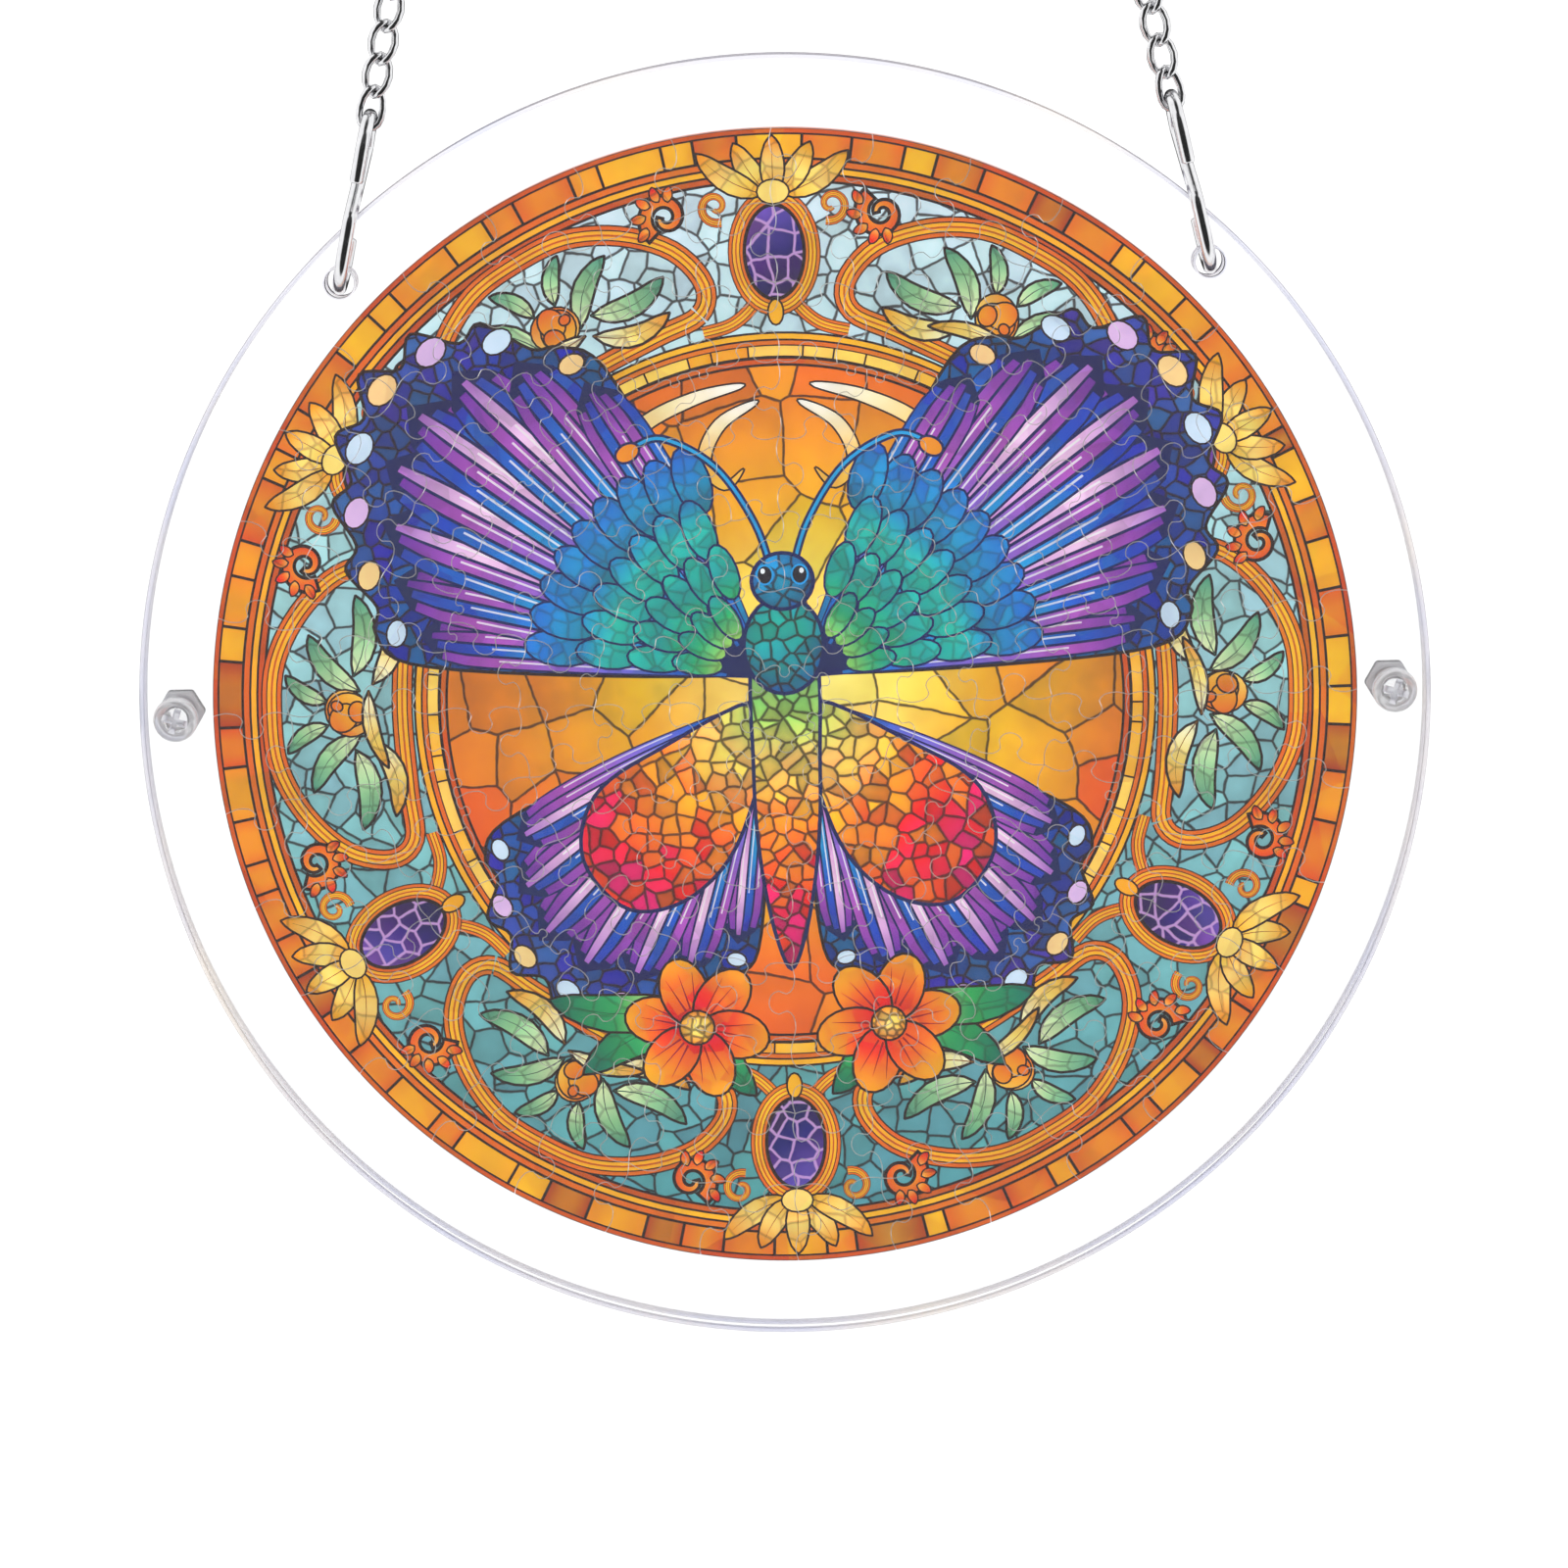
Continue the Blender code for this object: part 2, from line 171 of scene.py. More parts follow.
def curve(points, closed=False, steps=6):
    """A smooth path through a few points."""
    points = [Vector(point) for point in points]
    count = len(points)
    path = []
    for index in range(count if closed else count - 1):
        if closed:
            four = [points[(index + offset) % count] for offset in (-1, 0, 1, 2)]
        else:
            four = [points[min(max(index + offset, 0), count - 1)] for offset in (-1, 0, 1, 2)]
        before, start, end, after = four
        for step in range(steps):
            t = step / steps
            path.append(0.5 * (
                2 * start + (end - before) * t + (2 * before - 5 * start + 4 * end - after) * t**2
                + (3 * start - 3 * end + after - before) * t**3))
    if not closed:
        path.append(points[-1])
    return path


def band(path, width, taper=None):
    """A band along a path. The taper gives the share of the width at a share of the way."""
    left = []
    right = []
    last = len(path) - 1
    for index, spot in enumerate(path):
        ahead = (path[min(index + 1, last)] - path[max(index - 1, 0)]).normalized()
        half = width / 2 * (taper(index / last) if taper else 1)
        side = Vector((-ahead.y, ahead.x)) * half
        left.append(spot - side)
        right.append(spot + side)
    return left + right[::-1]


def ring_part(inner, outer, start, end, steps=3):
    turns = [start + (end - start) * step / steps for step in range(steps + 1)]
    return [polar(outer, turn) for turn in turns] + [polar(inner, turn) for turn in turns[::-1]]


# Border of the picture: small bricks of orange glass, then ridged mouldings, with a field of
# crackled pale blue to teal glass inside them.
border_colours = [
    ink(232, 124, 30), ink(216, 96, 24), ink(246, 176, 50), ink(176, 74, 24), ink(228, 112, 26),
    ink(240, 150, 36)]
rim_ink = ink(205, 92, 28)
moulding_orange = ink(222, 112, 26)
moulding_gold = ink(250, 186, 78)
crackle_cells = (230.0, 0.92, 0.55)
brick_unevenness = 0.28
shuffle = random.Random(5)


def ringed(rings):
    """Filled circles inside each other, each from its radius inwards."""
    for radius, colour in rings:
        lay(circle(radius), even(colour))


def bricks(inner, outer, count, colours, gap=0.48):
    """A ring of bricks of slightly uneven length."""
    pitch = 360 / count
    edges = []
    for index in range(count):
        edges.append(index * pitch + shuffle.uniform(-brick_unevenness, brick_unevenness) * pitch)
    half_gap = math.degrees(gap / 2 / outer)
    for index, start in enumerate(edges):
        end = edges[(index + 1) % count] + (360 if index == count - 1 else 0)
        shape = ring_part(inner, outer, start + half_gap, end - half_gap)
        tone = shuffle.choice(colours)
        light = blended([tone, ink(255, 226, 120)], 0.3)
        lay(shape, shaded([tone, light, tone], shape[0], shape[3]))


ringed([(picture_radius + 1, lead), (88.6, rim_ink), (88.0, lead)])
bricks(84.3, 87.7, 74, border_colours)
ringed([
    (83.9, moulding_orange), (83.1, lead), (82.75, moulding_gold), (82.0, lead),
    (81.65, ink(196, 90, 24)), (80.9, lead)])
glass_paint = shaded([ink(84, 146, 156), ink(122, 176, 184), ink(168, 208, 216), ink(208, 230, 240)],
                     (0, -80), (0, 80))
lay(circle(80.5), glass_paint, crackle_cells)

# Windows of the ring: six arched frames of gilt moulding with a rose and leaves in each, and a
# purple jewel in its own frame between every two, under a fan of golden petals.
window_middles = [0, 60, 120, 180, 240, 300]
jewel_middles = [30, 90, 150, 210, 270, 330]
leaf_cells = (300.0, 0.35, 0.4)


def moulding(path, width, taper=None):
    """A ridged band: dark edges, orange flanks and a golden middle."""
    ridges = (
        (1.0, lead), (0.86, moulding_orange), (0.52, lead), (0.40, moulding_gold),
        (0.10, ink(190, 100, 30)))
    for share, colour in ridges:
        lay(band(path, width * share, taper), even(colour))


def spiral(centre, start_radius, end_radius, start, end, steps=26):
    path = []
    for step in range(steps + 1):
        share = step / steps
        radius = start_radius + (end_radius - start_radius) * share
        path.append(Vector(centre) + polar(radius, start + (end - start) * share))
    return path


def leaf(base, tip, width, bend, stops, line=0.42, vein=True):
    """A pointed leaf from base to tip, bent sideways, with a vein."""
    base = Vector(base)
    tip = Vector(tip)
    way = tip - base
    side = Vector((-way.y, way.x)).normalized()
    spine = [base + way * share + side * bend * math.sin(math.pi * share)
             for share in (0, 0.12, 0.25, 0.4, 0.55, 0.7, 0.85, 0.94, 1)]
    outline = band(spine, width, lambda share: math.sin(math.pi * min(share, 0.999) ** 0.8) + 0.02)
    leaded(outline, shaded(stops, base, tip), leaf_cells, line)
    if vein:
        dark = blended([stops[-1], lead], 0.75)
        lay(band(spine[:7], 0.22, lambda share: 1 - 0.8 * share), even(dark))


def rose(centre, size, turn, stops):
    """A rolled bud: petals wrapped round each other, each a little smaller and turned."""
    centre = Vector(centre)
    for layer in range(5):
        radius = size * (1 - 0.19 * layer)
        middle = centre + polar(size * 0.13 * layer, turn + 140 * layer)
        light = blended(stops, 0.2 + 0.18 * layer)
        lit = polar(radius, turn + 90)
        leaded(ellipse(middle, radius, radius * 0.86, turn + 50 * layer, 20),
               shaded([light, stops[-1]], middle + lit, middle - lit), line=0.3)


def window(middle):
    """One arched window of the ring, round its own middle."""
    outline = []
    for radius, degrees in ((61.5, -19), (60.0, -12), (59.4, 0), (60.0, 12), (61.5, 19), (66, 20.5),
                            (72, 17.5), (76.5, 12), (79.2, 6), (79.6, 0), (79.2, -6), (76.5, -12),
                            (72, -17.5), (66, -20.5)):
        outline.append(polar(radius, middle + degrees))
    arch = curve(outline, closed=True, steps=5)
    moulding(arch + arch[:1], 3.3)


def window_filling(middle):
    """The rose, its curled leaves and the sprigs round it."""
    gold = [ink(255, 236, 150), ink(250, 190, 70), ink(226, 112, 32)]
    green = [ink(226, 240, 190), ink(150, 200, 150), ink(70, 140, 120)]
    pale = [ink(246, 250, 214), ink(240, 214, 120), ink(214, 150, 60)]
    for side in (-1, 1):
        for radius, start, reach, end, width, bend, tones in (
                (66, 3, 74.5, 9.5, 3.4, -1.4, green), (67, 5, 68.5, 15.5, 3.6, 1.6, green),
                (64, 4, 63, 15, 3.2, 1.8, pale), (71, 1.5, 77.5, 4.5, 2.6, -0.8, green)):
            base = polar(radius, middle + start * side)
            leaf(base, polar(reach, middle + end * side), width, bend * side, tones)
    rose(polar(67.8, middle), 3.9, middle * 1.7, gold)
    leaf(polar(64.6, middle - 3), polar(62.4, middle + 8), 2.4, -1.0, pale)


def jewel(middle):
    """A purple oval in a gilt frame, with scrolls at its foot and a golden fan at its head."""
    violet = [ink(122, 84, 172), ink(62, 32, 106), ink(30, 12, 58)]
    petal = [ink(246, 178, 60), ink(255, 226, 130), ink(236, 152, 50)]
    for side in (-1, 1):
        foot = curve([polar(58.6, middle + 11 * side), polar(59.2, middle + 6.5 * side),
                      polar(62.0, middle + 3.0 * side), polar(66.0, middle + 1.2 * side)])
        moulding(foot, 2.2)
        scroll = spiral(polar(77.4, middle + 6.6 * side), 2.6, 0.5,
                        middle + 200 * side, middle - 210 * side)
        moulding(scroll, 1.5, lambda share: 1 - 0.5 * share)
    ring = ellipse(polar(69.8, middle), 8.6, 5.9, middle, 40)
    moulding(ring + ring[:1], 2.5)
    leaded(ellipse(polar(69.8, middle), 7.2, 4.6, middle, 36),
           shaded(violet, polar(76, middle + 3), polar(63, middle - 3)), (330.0, -0.8, 0.9))
    for side in (-2, -1, 1, 2, 0):
        tip = polar(87.6 - 0.9 * abs(side), middle + 3.9 * side)
        leaf(polar(78.6, middle + 0.5 * side), tip, 3.7, 0.5 * side, petal, 0.34)
    leaded(ellipse(polar(79.0, middle), 1.9, 2.5, middle, 16), even(petal[1]), line=0.3)
    leaded(ellipse(polar(60.6, middle), 2.0, 1.2, middle, 14), even(petal[0]), line=0.3)


for middle in window_middles:
    window(middle)
for middle in window_middles:
    window_filling(middle)
for middle in jewel_middles:
    jewel(middle)

# Acanthus curls: orange-red leaves rolled up between the windows and the inner ring.
curl_reds = [ink(255, 196, 110), ink(240, 120, 50), ink(204, 56, 34)]
for middle in jewel_middles:
    for side in (-1, 1):
        start = middle + (150 if side > 0 else 30)
        rolled = spiral(polar(77.2, middle + 12.4 * side), 3.4, 0.8, start, start - 420 * side)
        leaded(band(rolled, 2.0, lambda share: 1.15 - 0.7 * share), glowing(curl_reds, rolled[-1], 4.5))
        for spur in range(5):
            root = rolled[2 + 2 * spur]
            out = (root - rolled[-1]).normalized()
            sideways = Vector((-out.y, out.x)) * 0.9 * side
            leaf(root, root + out * 2.3 + sideways, 1.5, 0.2, curl_reds, 0.25, vein=False)

# Inner ring and amber field: a narrow row of yellow bricks between mouldings, round a field of
# large amber panes that grows paler towards its middle.
field_radius = 52.3
field_cells = (88.0, 0.9, 0.6)
field_colours = [
    ink(255, 236, 140), ink(253, 222, 108), ink(246, 180, 58), ink(232, 132, 28), ink(214, 104, 22)]
ringed([(57.6, lead), (57.25, moulding_gold), (56.5, lead), (56.2, moulding_orange), (55.6, lead)])
bricks(53.9, 55.4, 58, [ink(250, 190, 80), ink(240, 160, 60), ink(255, 212, 110)], 0.3)
ringed([(53.7, lead), (53.4, ink(206, 96, 26)), (52.7, lead)])
lay(circle(field_radius), glowing(field_colours, (4, 4), 62), field_cells)

# Flourishes: white and yellow leaves that curl through the amber field.
flourish_tones = [ink(255, 255, 250), ink(255, 240, 190), ink(248, 196, 96)]


def flourish(points, width):
    path = curve(points, steps=7)
    shape = band(path, width, lambda share: 0.12 + math.sin(math.pi * share**0.75) ** 0.8)
    leaded(shape, shaded(flourish_tones, path[0], path[-1]), line=0.3, both=True)


for stem, width in (
        ([(5, 49.5), (13, 47.5), (21, 43.5), (25, 37.5), (22, 33.5), (18.5, 36)], 2.2),
        ([(3, 47), (9, 43.5), (11.5, 38), (8.5, 34), (5.5, 36.5)], 2.0)):
    flourish(stem, width)

# Butterfly: its wings are fans of long ribbed vanes, blue and violet, over scaled patches.
wing_root = Vector((3.5, 5.0))
ribs_in_vane = 5
navy = ink(20, 26, 84)
blues = [ink(20, 84, 140), ink(36, 130, 196), ink(70, 160, 222), ink(52, 92, 190), ink(64, 60, 160)]
violets = [ink(30, 90, 160), ink(60, 110, 200), ink(140, 110, 206), ink(170, 90, 180), ink(92, 50, 150)]
pinks = [
    ink(50, 110, 190), ink(120, 120, 214), ink(206, 140, 210), ink(240, 200, 232), ink(150, 80, 180)]
teals = [ink(24, 110, 120), ink(30, 150, 150), ink(60, 180, 170), ink(30, 120, 180)]
greens = [ink(150, 210, 110), ink(60, 170, 120), ink(20, 120, 120)]
fires = [ink(255, 214, 110), ink(250, 150, 50), ink(230, 80, 36), ink(196, 44, 40)]


def vane(root, angle, length, width, droop, tones):
    """One long vane: a dark blade with ribs of colour along it, each with a light line."""
    along = polar(1, angle)
    side = polar(1, angle + 90)

    def spot(v, u):
        rounded = math.sqrt(max(0.0, 1 - max(0.0, (v - 0.82) / 0.18) ** 2))
        half = width / 2 * (0.22 + 0.78 * math.sin(math.pi / 2 * min(v / 0.8, 1))) * rounded
        return root + along * length * v + side * (u * half - droop * v * v)

    steps = [index / 16 for index in range(17)]
    blade = [spot(v, -1) for v in steps] + [spot(v, 1) for v in steps[-2::-1]]
    lay(set_back(blade, -0.12), even(navy), both=True)
    for rib in range(ribs_in_vane):
        tone = tones[rib % len(tones)]
        low = -1 + 2 * (rib + 0.12) / ribs_in_vane
        high = -1 + 2 * (rib + 0.90) / ribs_in_vane
        first = 0.1 + 0.05 * (rib % 3)
        last = 0.965 - 0.05 * abs(low + high) / 2
        run = [first + (last - first) * index / 12 for index in range(13)]
        shape = [spot(v, low) for v in run] + [spot(v, high) for v in run[::-1]]
        paint = shaded(tone, spot(0, 0), spot(1, 0))
        lay(shape, paint, (260.0, 0.0, 0.35), both=True)
        glint = [first + (last - first) * (0.25 + 0.55 * index / 8) for index in range(9)]
        middle = low + (high - low) * 0.68
        thin = (high - low) * 0.10
        shine = [spot(v, middle - thin) for v in glint] + [spot(v, middle + thin) for v in glint[::-1]]
        lay(shine, lambda place, paint=paint: blended([paint(place), (1, 1, 1)], 0.62), both=True)


def scale(root, angle, reach, length, width, tones):
    """One small rounded scale feather, reach away from the root."""
    """One small rounded scale, at a reach from the root."""
    base = root + polar(reach, angle)
    base = root + polar(reach, angle)
    tip = root + polar(reach + length, angle)
    shape = ellipse((base + tip) / 2, length / 2, width / 2, angle, 16)
    leaded(shape, shaded(tones, base, tip), (420.0, 0.3, 0.5), 0.35, both=True, edge=navy)


def wing(root, tips, droop, tones):
    """A fan of vanes on a dark, scalloped wing with a row of pale spots along its edge."""

    def sagging(reach, angle, spoke, share=1.0):
        """A spot at a reach and an angle from the root, let down square to a spoke."""
        return root + polar(reach, angle) - polar(share * droop, spoke + 90)

    (first, first_length), (last, last_length) = tips[0], tips[-1]
    outline = [root + polar(2, first - 25)]
    for share, swing in ((0.5, 7), (0.9, 4.6)):
        outline.append(sagging(share * first_length, first - swing, first, share))
    for number, (angle, length) in enumerate(tips):
        outline.append(sagging(length, angle, angle))
        if number + 1 < len(tips):
            following, next_length = tips[number + 1]
            middle = (angle + following) / 2
            outline.append(sagging(0.955 * (length + next_length) / 2, middle, middle))
    for share, swing in ((0.9, 4.6), (0.5, 7)):
        outline.append(sagging(share * last_length, last + swing, last, share))
    outline.append(root + polar(2, last + 25))
    dark_blues = [blues[0], ink(24, 48, 120), ink(30, 58, 140), ink(64, 60, 150)]
    leaded(curve(outline, closed=True, steps=5), glowing(dark_blues, root, tips[3][1]),
           (380.0, 0.9, 1.0), 0.5, both=True)
    for angle, length in tips:
        vane(root, angle, length * 0.885, length * 0.155, droop * 0.8, tones(angle))
    for number, (angle, length) in enumerate(tips):
        place = sagging(length * 0.945, angle, angle, 0.9)
        pale = even(spot_colours[number % len(spot_colours)])
        leaded(ellipse(place, length * 0.026, length * 0.036, angle, 14), pale, line=0.3, both=True)


lower_root = Vector((3.0, 0.0))
lower_tips = ((-79, 43), (-70, 50), (-61, 55), (-52, 58), (-43, 58), (-34, 55), (-25, 50))
upper_tips = ((11, 60), (18.5, 66), (26, 71), (33.5, 75), (41, 77), (48.5, 75), (56, 69), (63.5, 59))
spot_colours = [ink(206, 226, 246), ink(250, 214, 150), ink(226, 190, 236)]
wing(lower_root, lower_tips, 2.5, lambda angle: [violets, blues, pinks, violets])
patch = curve([(3, 0), (20, -7), (30, -14), (32, -24), (25, -32), (15, -30), (7, -20)], closed=True)
leaded(patch, glowing([greens[0], *fires], (3, -2), 40), (360.0, 0.85, 1.0), 0.6, both=True, edge=navy)
wing(wing_root, upper_tips, 4.0,
     lambda angle: [blues, violets, pinks] if 22 < angle < 55 else [violets, blues, violets])
for reach, length, width, spread, tones in (
        (26, 11, 5.6, 12, [teals[0], blues[1], violets[1]]),
        (19, 10, 4.8, 15, [teals[1], teals[2], blues[1]]),
        (12, 9, 4.2, 19, [greens[1], teals[1], teals[2]]),
        (6, 8, 3.6, 25, [greens[0], greens[1], teals[1]])):
    angle = 8
    while angle < 72:
        scale(wing_root, angle, reach, length, width, tones)
        angle += spread * 0.66

# Body of the butterfly: head, thorax and a tapering body of fiery scales, with two feelers.
feeler = curve([(1.2, 19), (4, 28), (10, 37), (18, 41.5), (23, 40)], steps=7)
lay(band(feeler, 1.3), even(navy), both=True)
lay(band(feeler[1:-1], 0.5), even(blues[2]), both=True)
leaded(ellipse((23.4, 39.4), 2.0, 1.4, -30, 16), even(fires[1]), line=0.4, both=True, edge=navy)
body = curve([(0, 13), (4.6, 9), (5.4, 2), (5.2, -8), (5.0, -18), (4.0, -28), (2.2, -37), (0, -42),
              (-2.2, -37), (-4.0, -28), (-5.0, -18), (-5.2, -8), (-5.4, 2), (-4.6, 9)],
             closed=True, steps=5)
leaded(body, shaded([greens[1], greens[0], *fires], (0, 8), (0, -40)), (430.0, 0.85, 1.0), 0.6,
       edge=navy)
leaded(ellipse((0, 9), 6.2, 7.6), glowing([teals[2], teals[1], blues[0]], (-1, 11), 8),
       (430.0, 0.85, 0.9), 0.6, edge=navy)
leaded(ellipse((0, 19), 4.8, 4.4), glowing([blues[2], blues[1], blues[0]], (-1, 20.5), 5.5),
       (430.0, 0.8, 0.8), 0.6, edge=navy)
leaded(ellipse((2.7, 20), 1.25, 1.5, 0, 18), even(ink(24, 16, 30)), line=0.3, both=True, edge=blues[2])
lay(ellipse((3.0, 20.6), 0.35, 0.42, 0, 10), even((0.9, 0.95, 1.0)), both=True)

# Blossoms: flame-coloured flowers with green leaves on both sides of the body's end.
def blossom(centre, size, turn, tones):
    centre = Vector(centre)
    for petal in range(6):
        angle = turn + 60 * petal
        tip = centre + polar(size, angle)
        shape = ellipse((centre * 0.86 + tip * 1.14) / 2, size * 0.52, size * 0.36, angle, 20)
        leaded(shape, shaded(tones, tip, centre), (300.0, 0.0, 0.4), 0.4, both=True)
        for ray in (-14, 0, 14):
            line = [centre + polar(size * share, angle + ray) for share in (0.3, 0.55, 0.85)]
            lay(band(line, 0.35, lambda share: 1 - 0.8 * share), even(ink(150, 30, 30)), both=True)
    heart = glowing([ink(255, 240, 140), ink(236, 150, 40)], centre, size * 0.3)
    leaded(circle(size * 0.26, centre, 18), heart, (700.0, 0.7, 0.8), 0.35, both=True)


for base, tip, width, bend in (
        ((14, -50), (33, -58), 6.0, 2.0), ((12, -50), (6, -62), 5.0, 1.5),
        ((17, -47), (38, -46), 6.0, -2.0)):
    for mirror in (-1, 1):
        leaf((base[0] * mirror, base[1]), (tip[0] * mirror, tip[1]), width, bend * mirror,
             [ink(190, 224, 130), ink(60, 160, 100), ink(20, 100, 90)], 0.4)
blossom((15, -51), 10.5, 12, [ink(250, 170, 60), ink(240, 100, 40), ink(206, 40, 44)])

# Cut lines: the printed sheet is cut by a laser into seven rings of pieces round a middle one, with
# rounded lobes that lock them together. Each line follows its ring or spoke and swings to one side.
piece_width = picture_radius / 7.5
pieces_in_rings = (1, 6, 12, 24, 24, 36, 36, 36)
half_knob = ((0, 0), (0.15, -0.035), (0.31, -0.01), (0.385, 0.075), (0.345, 0.18), (0.395, 0.275))
ring_blocks = ((0, 1), (2, 3), (4, 5), (6, 7))
block_names = ("centre", "inner", "middle", "outer")
block_counts = (1, 6, 12, 18)


def cut_radius(boundary):
    return (boundary + 0.5) * piece_width


def breaks(boundary):
    """Where, in degrees, lines meet the round cut outside a ring."""
    found = set()
    for ring in (boundary, boundary + 1):
        if 0 < ring < len(pieces_in_rings):
            found.update(range(0, 360, 360 // pieces_in_rings[ring]))
    return sorted(found)


def block_side(first, second):
    """Which side a lobe goes to: a fixed shuffle of -1 and 1."""
    return 1 if (7 * first + 5 * second + first * second) % 4 < 2 else -1


other_half = [(1 - along, across) for along, across in half_knob[::-1]]
knob = curve([*half_knob, (0.5, 0.31), *other_half], steps=2)[:-1]


def round_cut(boundary, start, end, side):
    """A cut along a ring's edge between two turns, without its last point."""
    radius = cut_radius(boundary)
    length = radius * math.radians(end - start)
    return [polar(radius + side * across * length, start + (end - start) * forward)
            for forward, across in knob]


def spoke_cut(ring, degrees, side):
    """A cut outwards across a ring, without its last point."""
    start = polar(cut_radius(ring - 1), degrees)
    way = polar(piece_width, degrees)
    sideways = polar(side * piece_width, degrees + 90)
    return [start + way * forward + sideways * across for forward, across in knob]


round_cuts = {}
spoke_cuts = {}
for boundary in range(len(pieces_in_rings) - 1):
    turns = breaks(boundary)
    for index, degrees in enumerate(turns):
        following = turns[index + 1] if index + 1 < len(turns) else 360
        side = block_side(index, (boundary - 1) // 2 if boundary % 2 else boundary + 4)
        round_cuts[boundary, degrees] = round_cut(boundary, degrees, following, side)
for ring in range(1, len(pieces_in_rings)):
    count = pieces_in_rings[ring]
    block_count = block_counts[ring // 2]
    for index in range(count):
        degrees = index * 360 // count
        block_ring = ring // 2 - 1
        if block_ring >= 0 and degrees * block_count % 360 == 0:
            side = block_side(degrees * block_count // 360, 2 * block_ring + ring % 2)
        else:
            side = block_side(index, ring + 9)
        spoke_cuts[ring, degrees] = spoke_cut(ring, degrees, side)


def round_run(boundary, start, end):
    """The round cuts of a boundary from one turn to another, without the last point."""
    if boundary == len(pieces_in_rings) - 1:
        count = round(end - start)
        turns = [start + (end - start) * step / count for step in range(count)]
        return [polar(cut_radius(boundary), turn) for turn in turns]
    run = []
    for degrees in breaks(boundary):
        if start <= degrees < end:
            run += round_cuts[boundary, degrees]
    return run


def piece_outline(ring, index):
    """Round a piece: out along one side, round its outer edge, back in, and along its inner edge."""
    if ring == 0:
        return round_run(0, 0, 360)
    step = 360 // pieces_in_rings[ring]
    start = index * step
    end = start + step
    outline = list(spoke_cuts[ring, start])
    outline += round_run(ring, start, end)
    outline.append(polar(cut_radius(ring), end))
    outline += spoke_cuts[ring, end % 360][::-1]
    inner = round_run(ring - 1, start, end)
    outline += inner[:0:-1]
    return outline


# Puzzle pieces: 3 mm clear acrylic with the picture printed on both faces. The laser leaves a bare,
# pale edge along every cut, so each piece has an unprinted margin and clear sides.
cut_gap = 0.07
bare_margin = 0.04
print_edge = 0.0885
panel_clearance = 0.0003
piece_front = panel_high[1] + panel_clearance
piece_back = -piece_front
bare_colour = ink(232, 228, 220)
bare_share = 0.55
same_crossing = 1e-3
seam_full = 0.00012
seam_faded = 0.00029
pale_seam = ink(206, 160, 220)

places = []
for ring, count in enumerate(pieces_in_rings):
    for index in range(count):
        places.append((ring, index, set_back(piece_outline(ring, index), cut_gap / 2)))


def fill(node, inputs):
    """Fill a node's inputs, each with a plain value or with the output of another node."""
    for name, value in inputs.items():
        if isinstance(value, bpy.types.NodeSocket):
            node.id_data.links.new(value, node.inputs[name])
        else:
            node.inputs[name].default_value = value


def new_material(name, inputs):
    material = bpy.data.materials.new(name)
    material.use_nodes = True
    finish(material, inputs)
    return material


def finish(material, inputs):
    """Fill inputs of a material's shader."""
    fill(material.node_tree.nodes["Principled BSDF"], inputs)


def add_node(material, kind, inputs, **settings):
    """Add one node of a pattern, and give its outputs."""
    node = material.node_tree.nodes.new(kind)
    for setting, value in settings.items():
        setattr(node, setting, value)
    fill(node, inputs)
    return node.outputs


def coordinates(material):
    return add_node(material, "ShaderNodeTexCoord", {})["Object"]


def mottling(material, scale, detail=2.0):
    """Noise that is fixed to the piece, with its scale in spots to a metre."""
    inputs = {"Vector": coordinates(material), "Scale": scale, "Detail": detail}
    return add_node(material, "ShaderNodeTexNoise", inputs)


def ranged(material, value, start, end, low, high, **settings):
    """A value between start and end, moved to between low and high."""
    inputs = {"Value": value, "From Min": start, "From Max": end, "To Min": low, "To Max": high}
    return add_node(material, "ShaderNodeMapRange", inputs, **settings)[0]


def mixed(material, share, first, second):
    """One colour turning into another."""
    inputs = {"Factor": share, "A": first, "B": second}
    return add_node(material, "ShaderNodeMix", inputs, data_type="RGBA")["Result"]


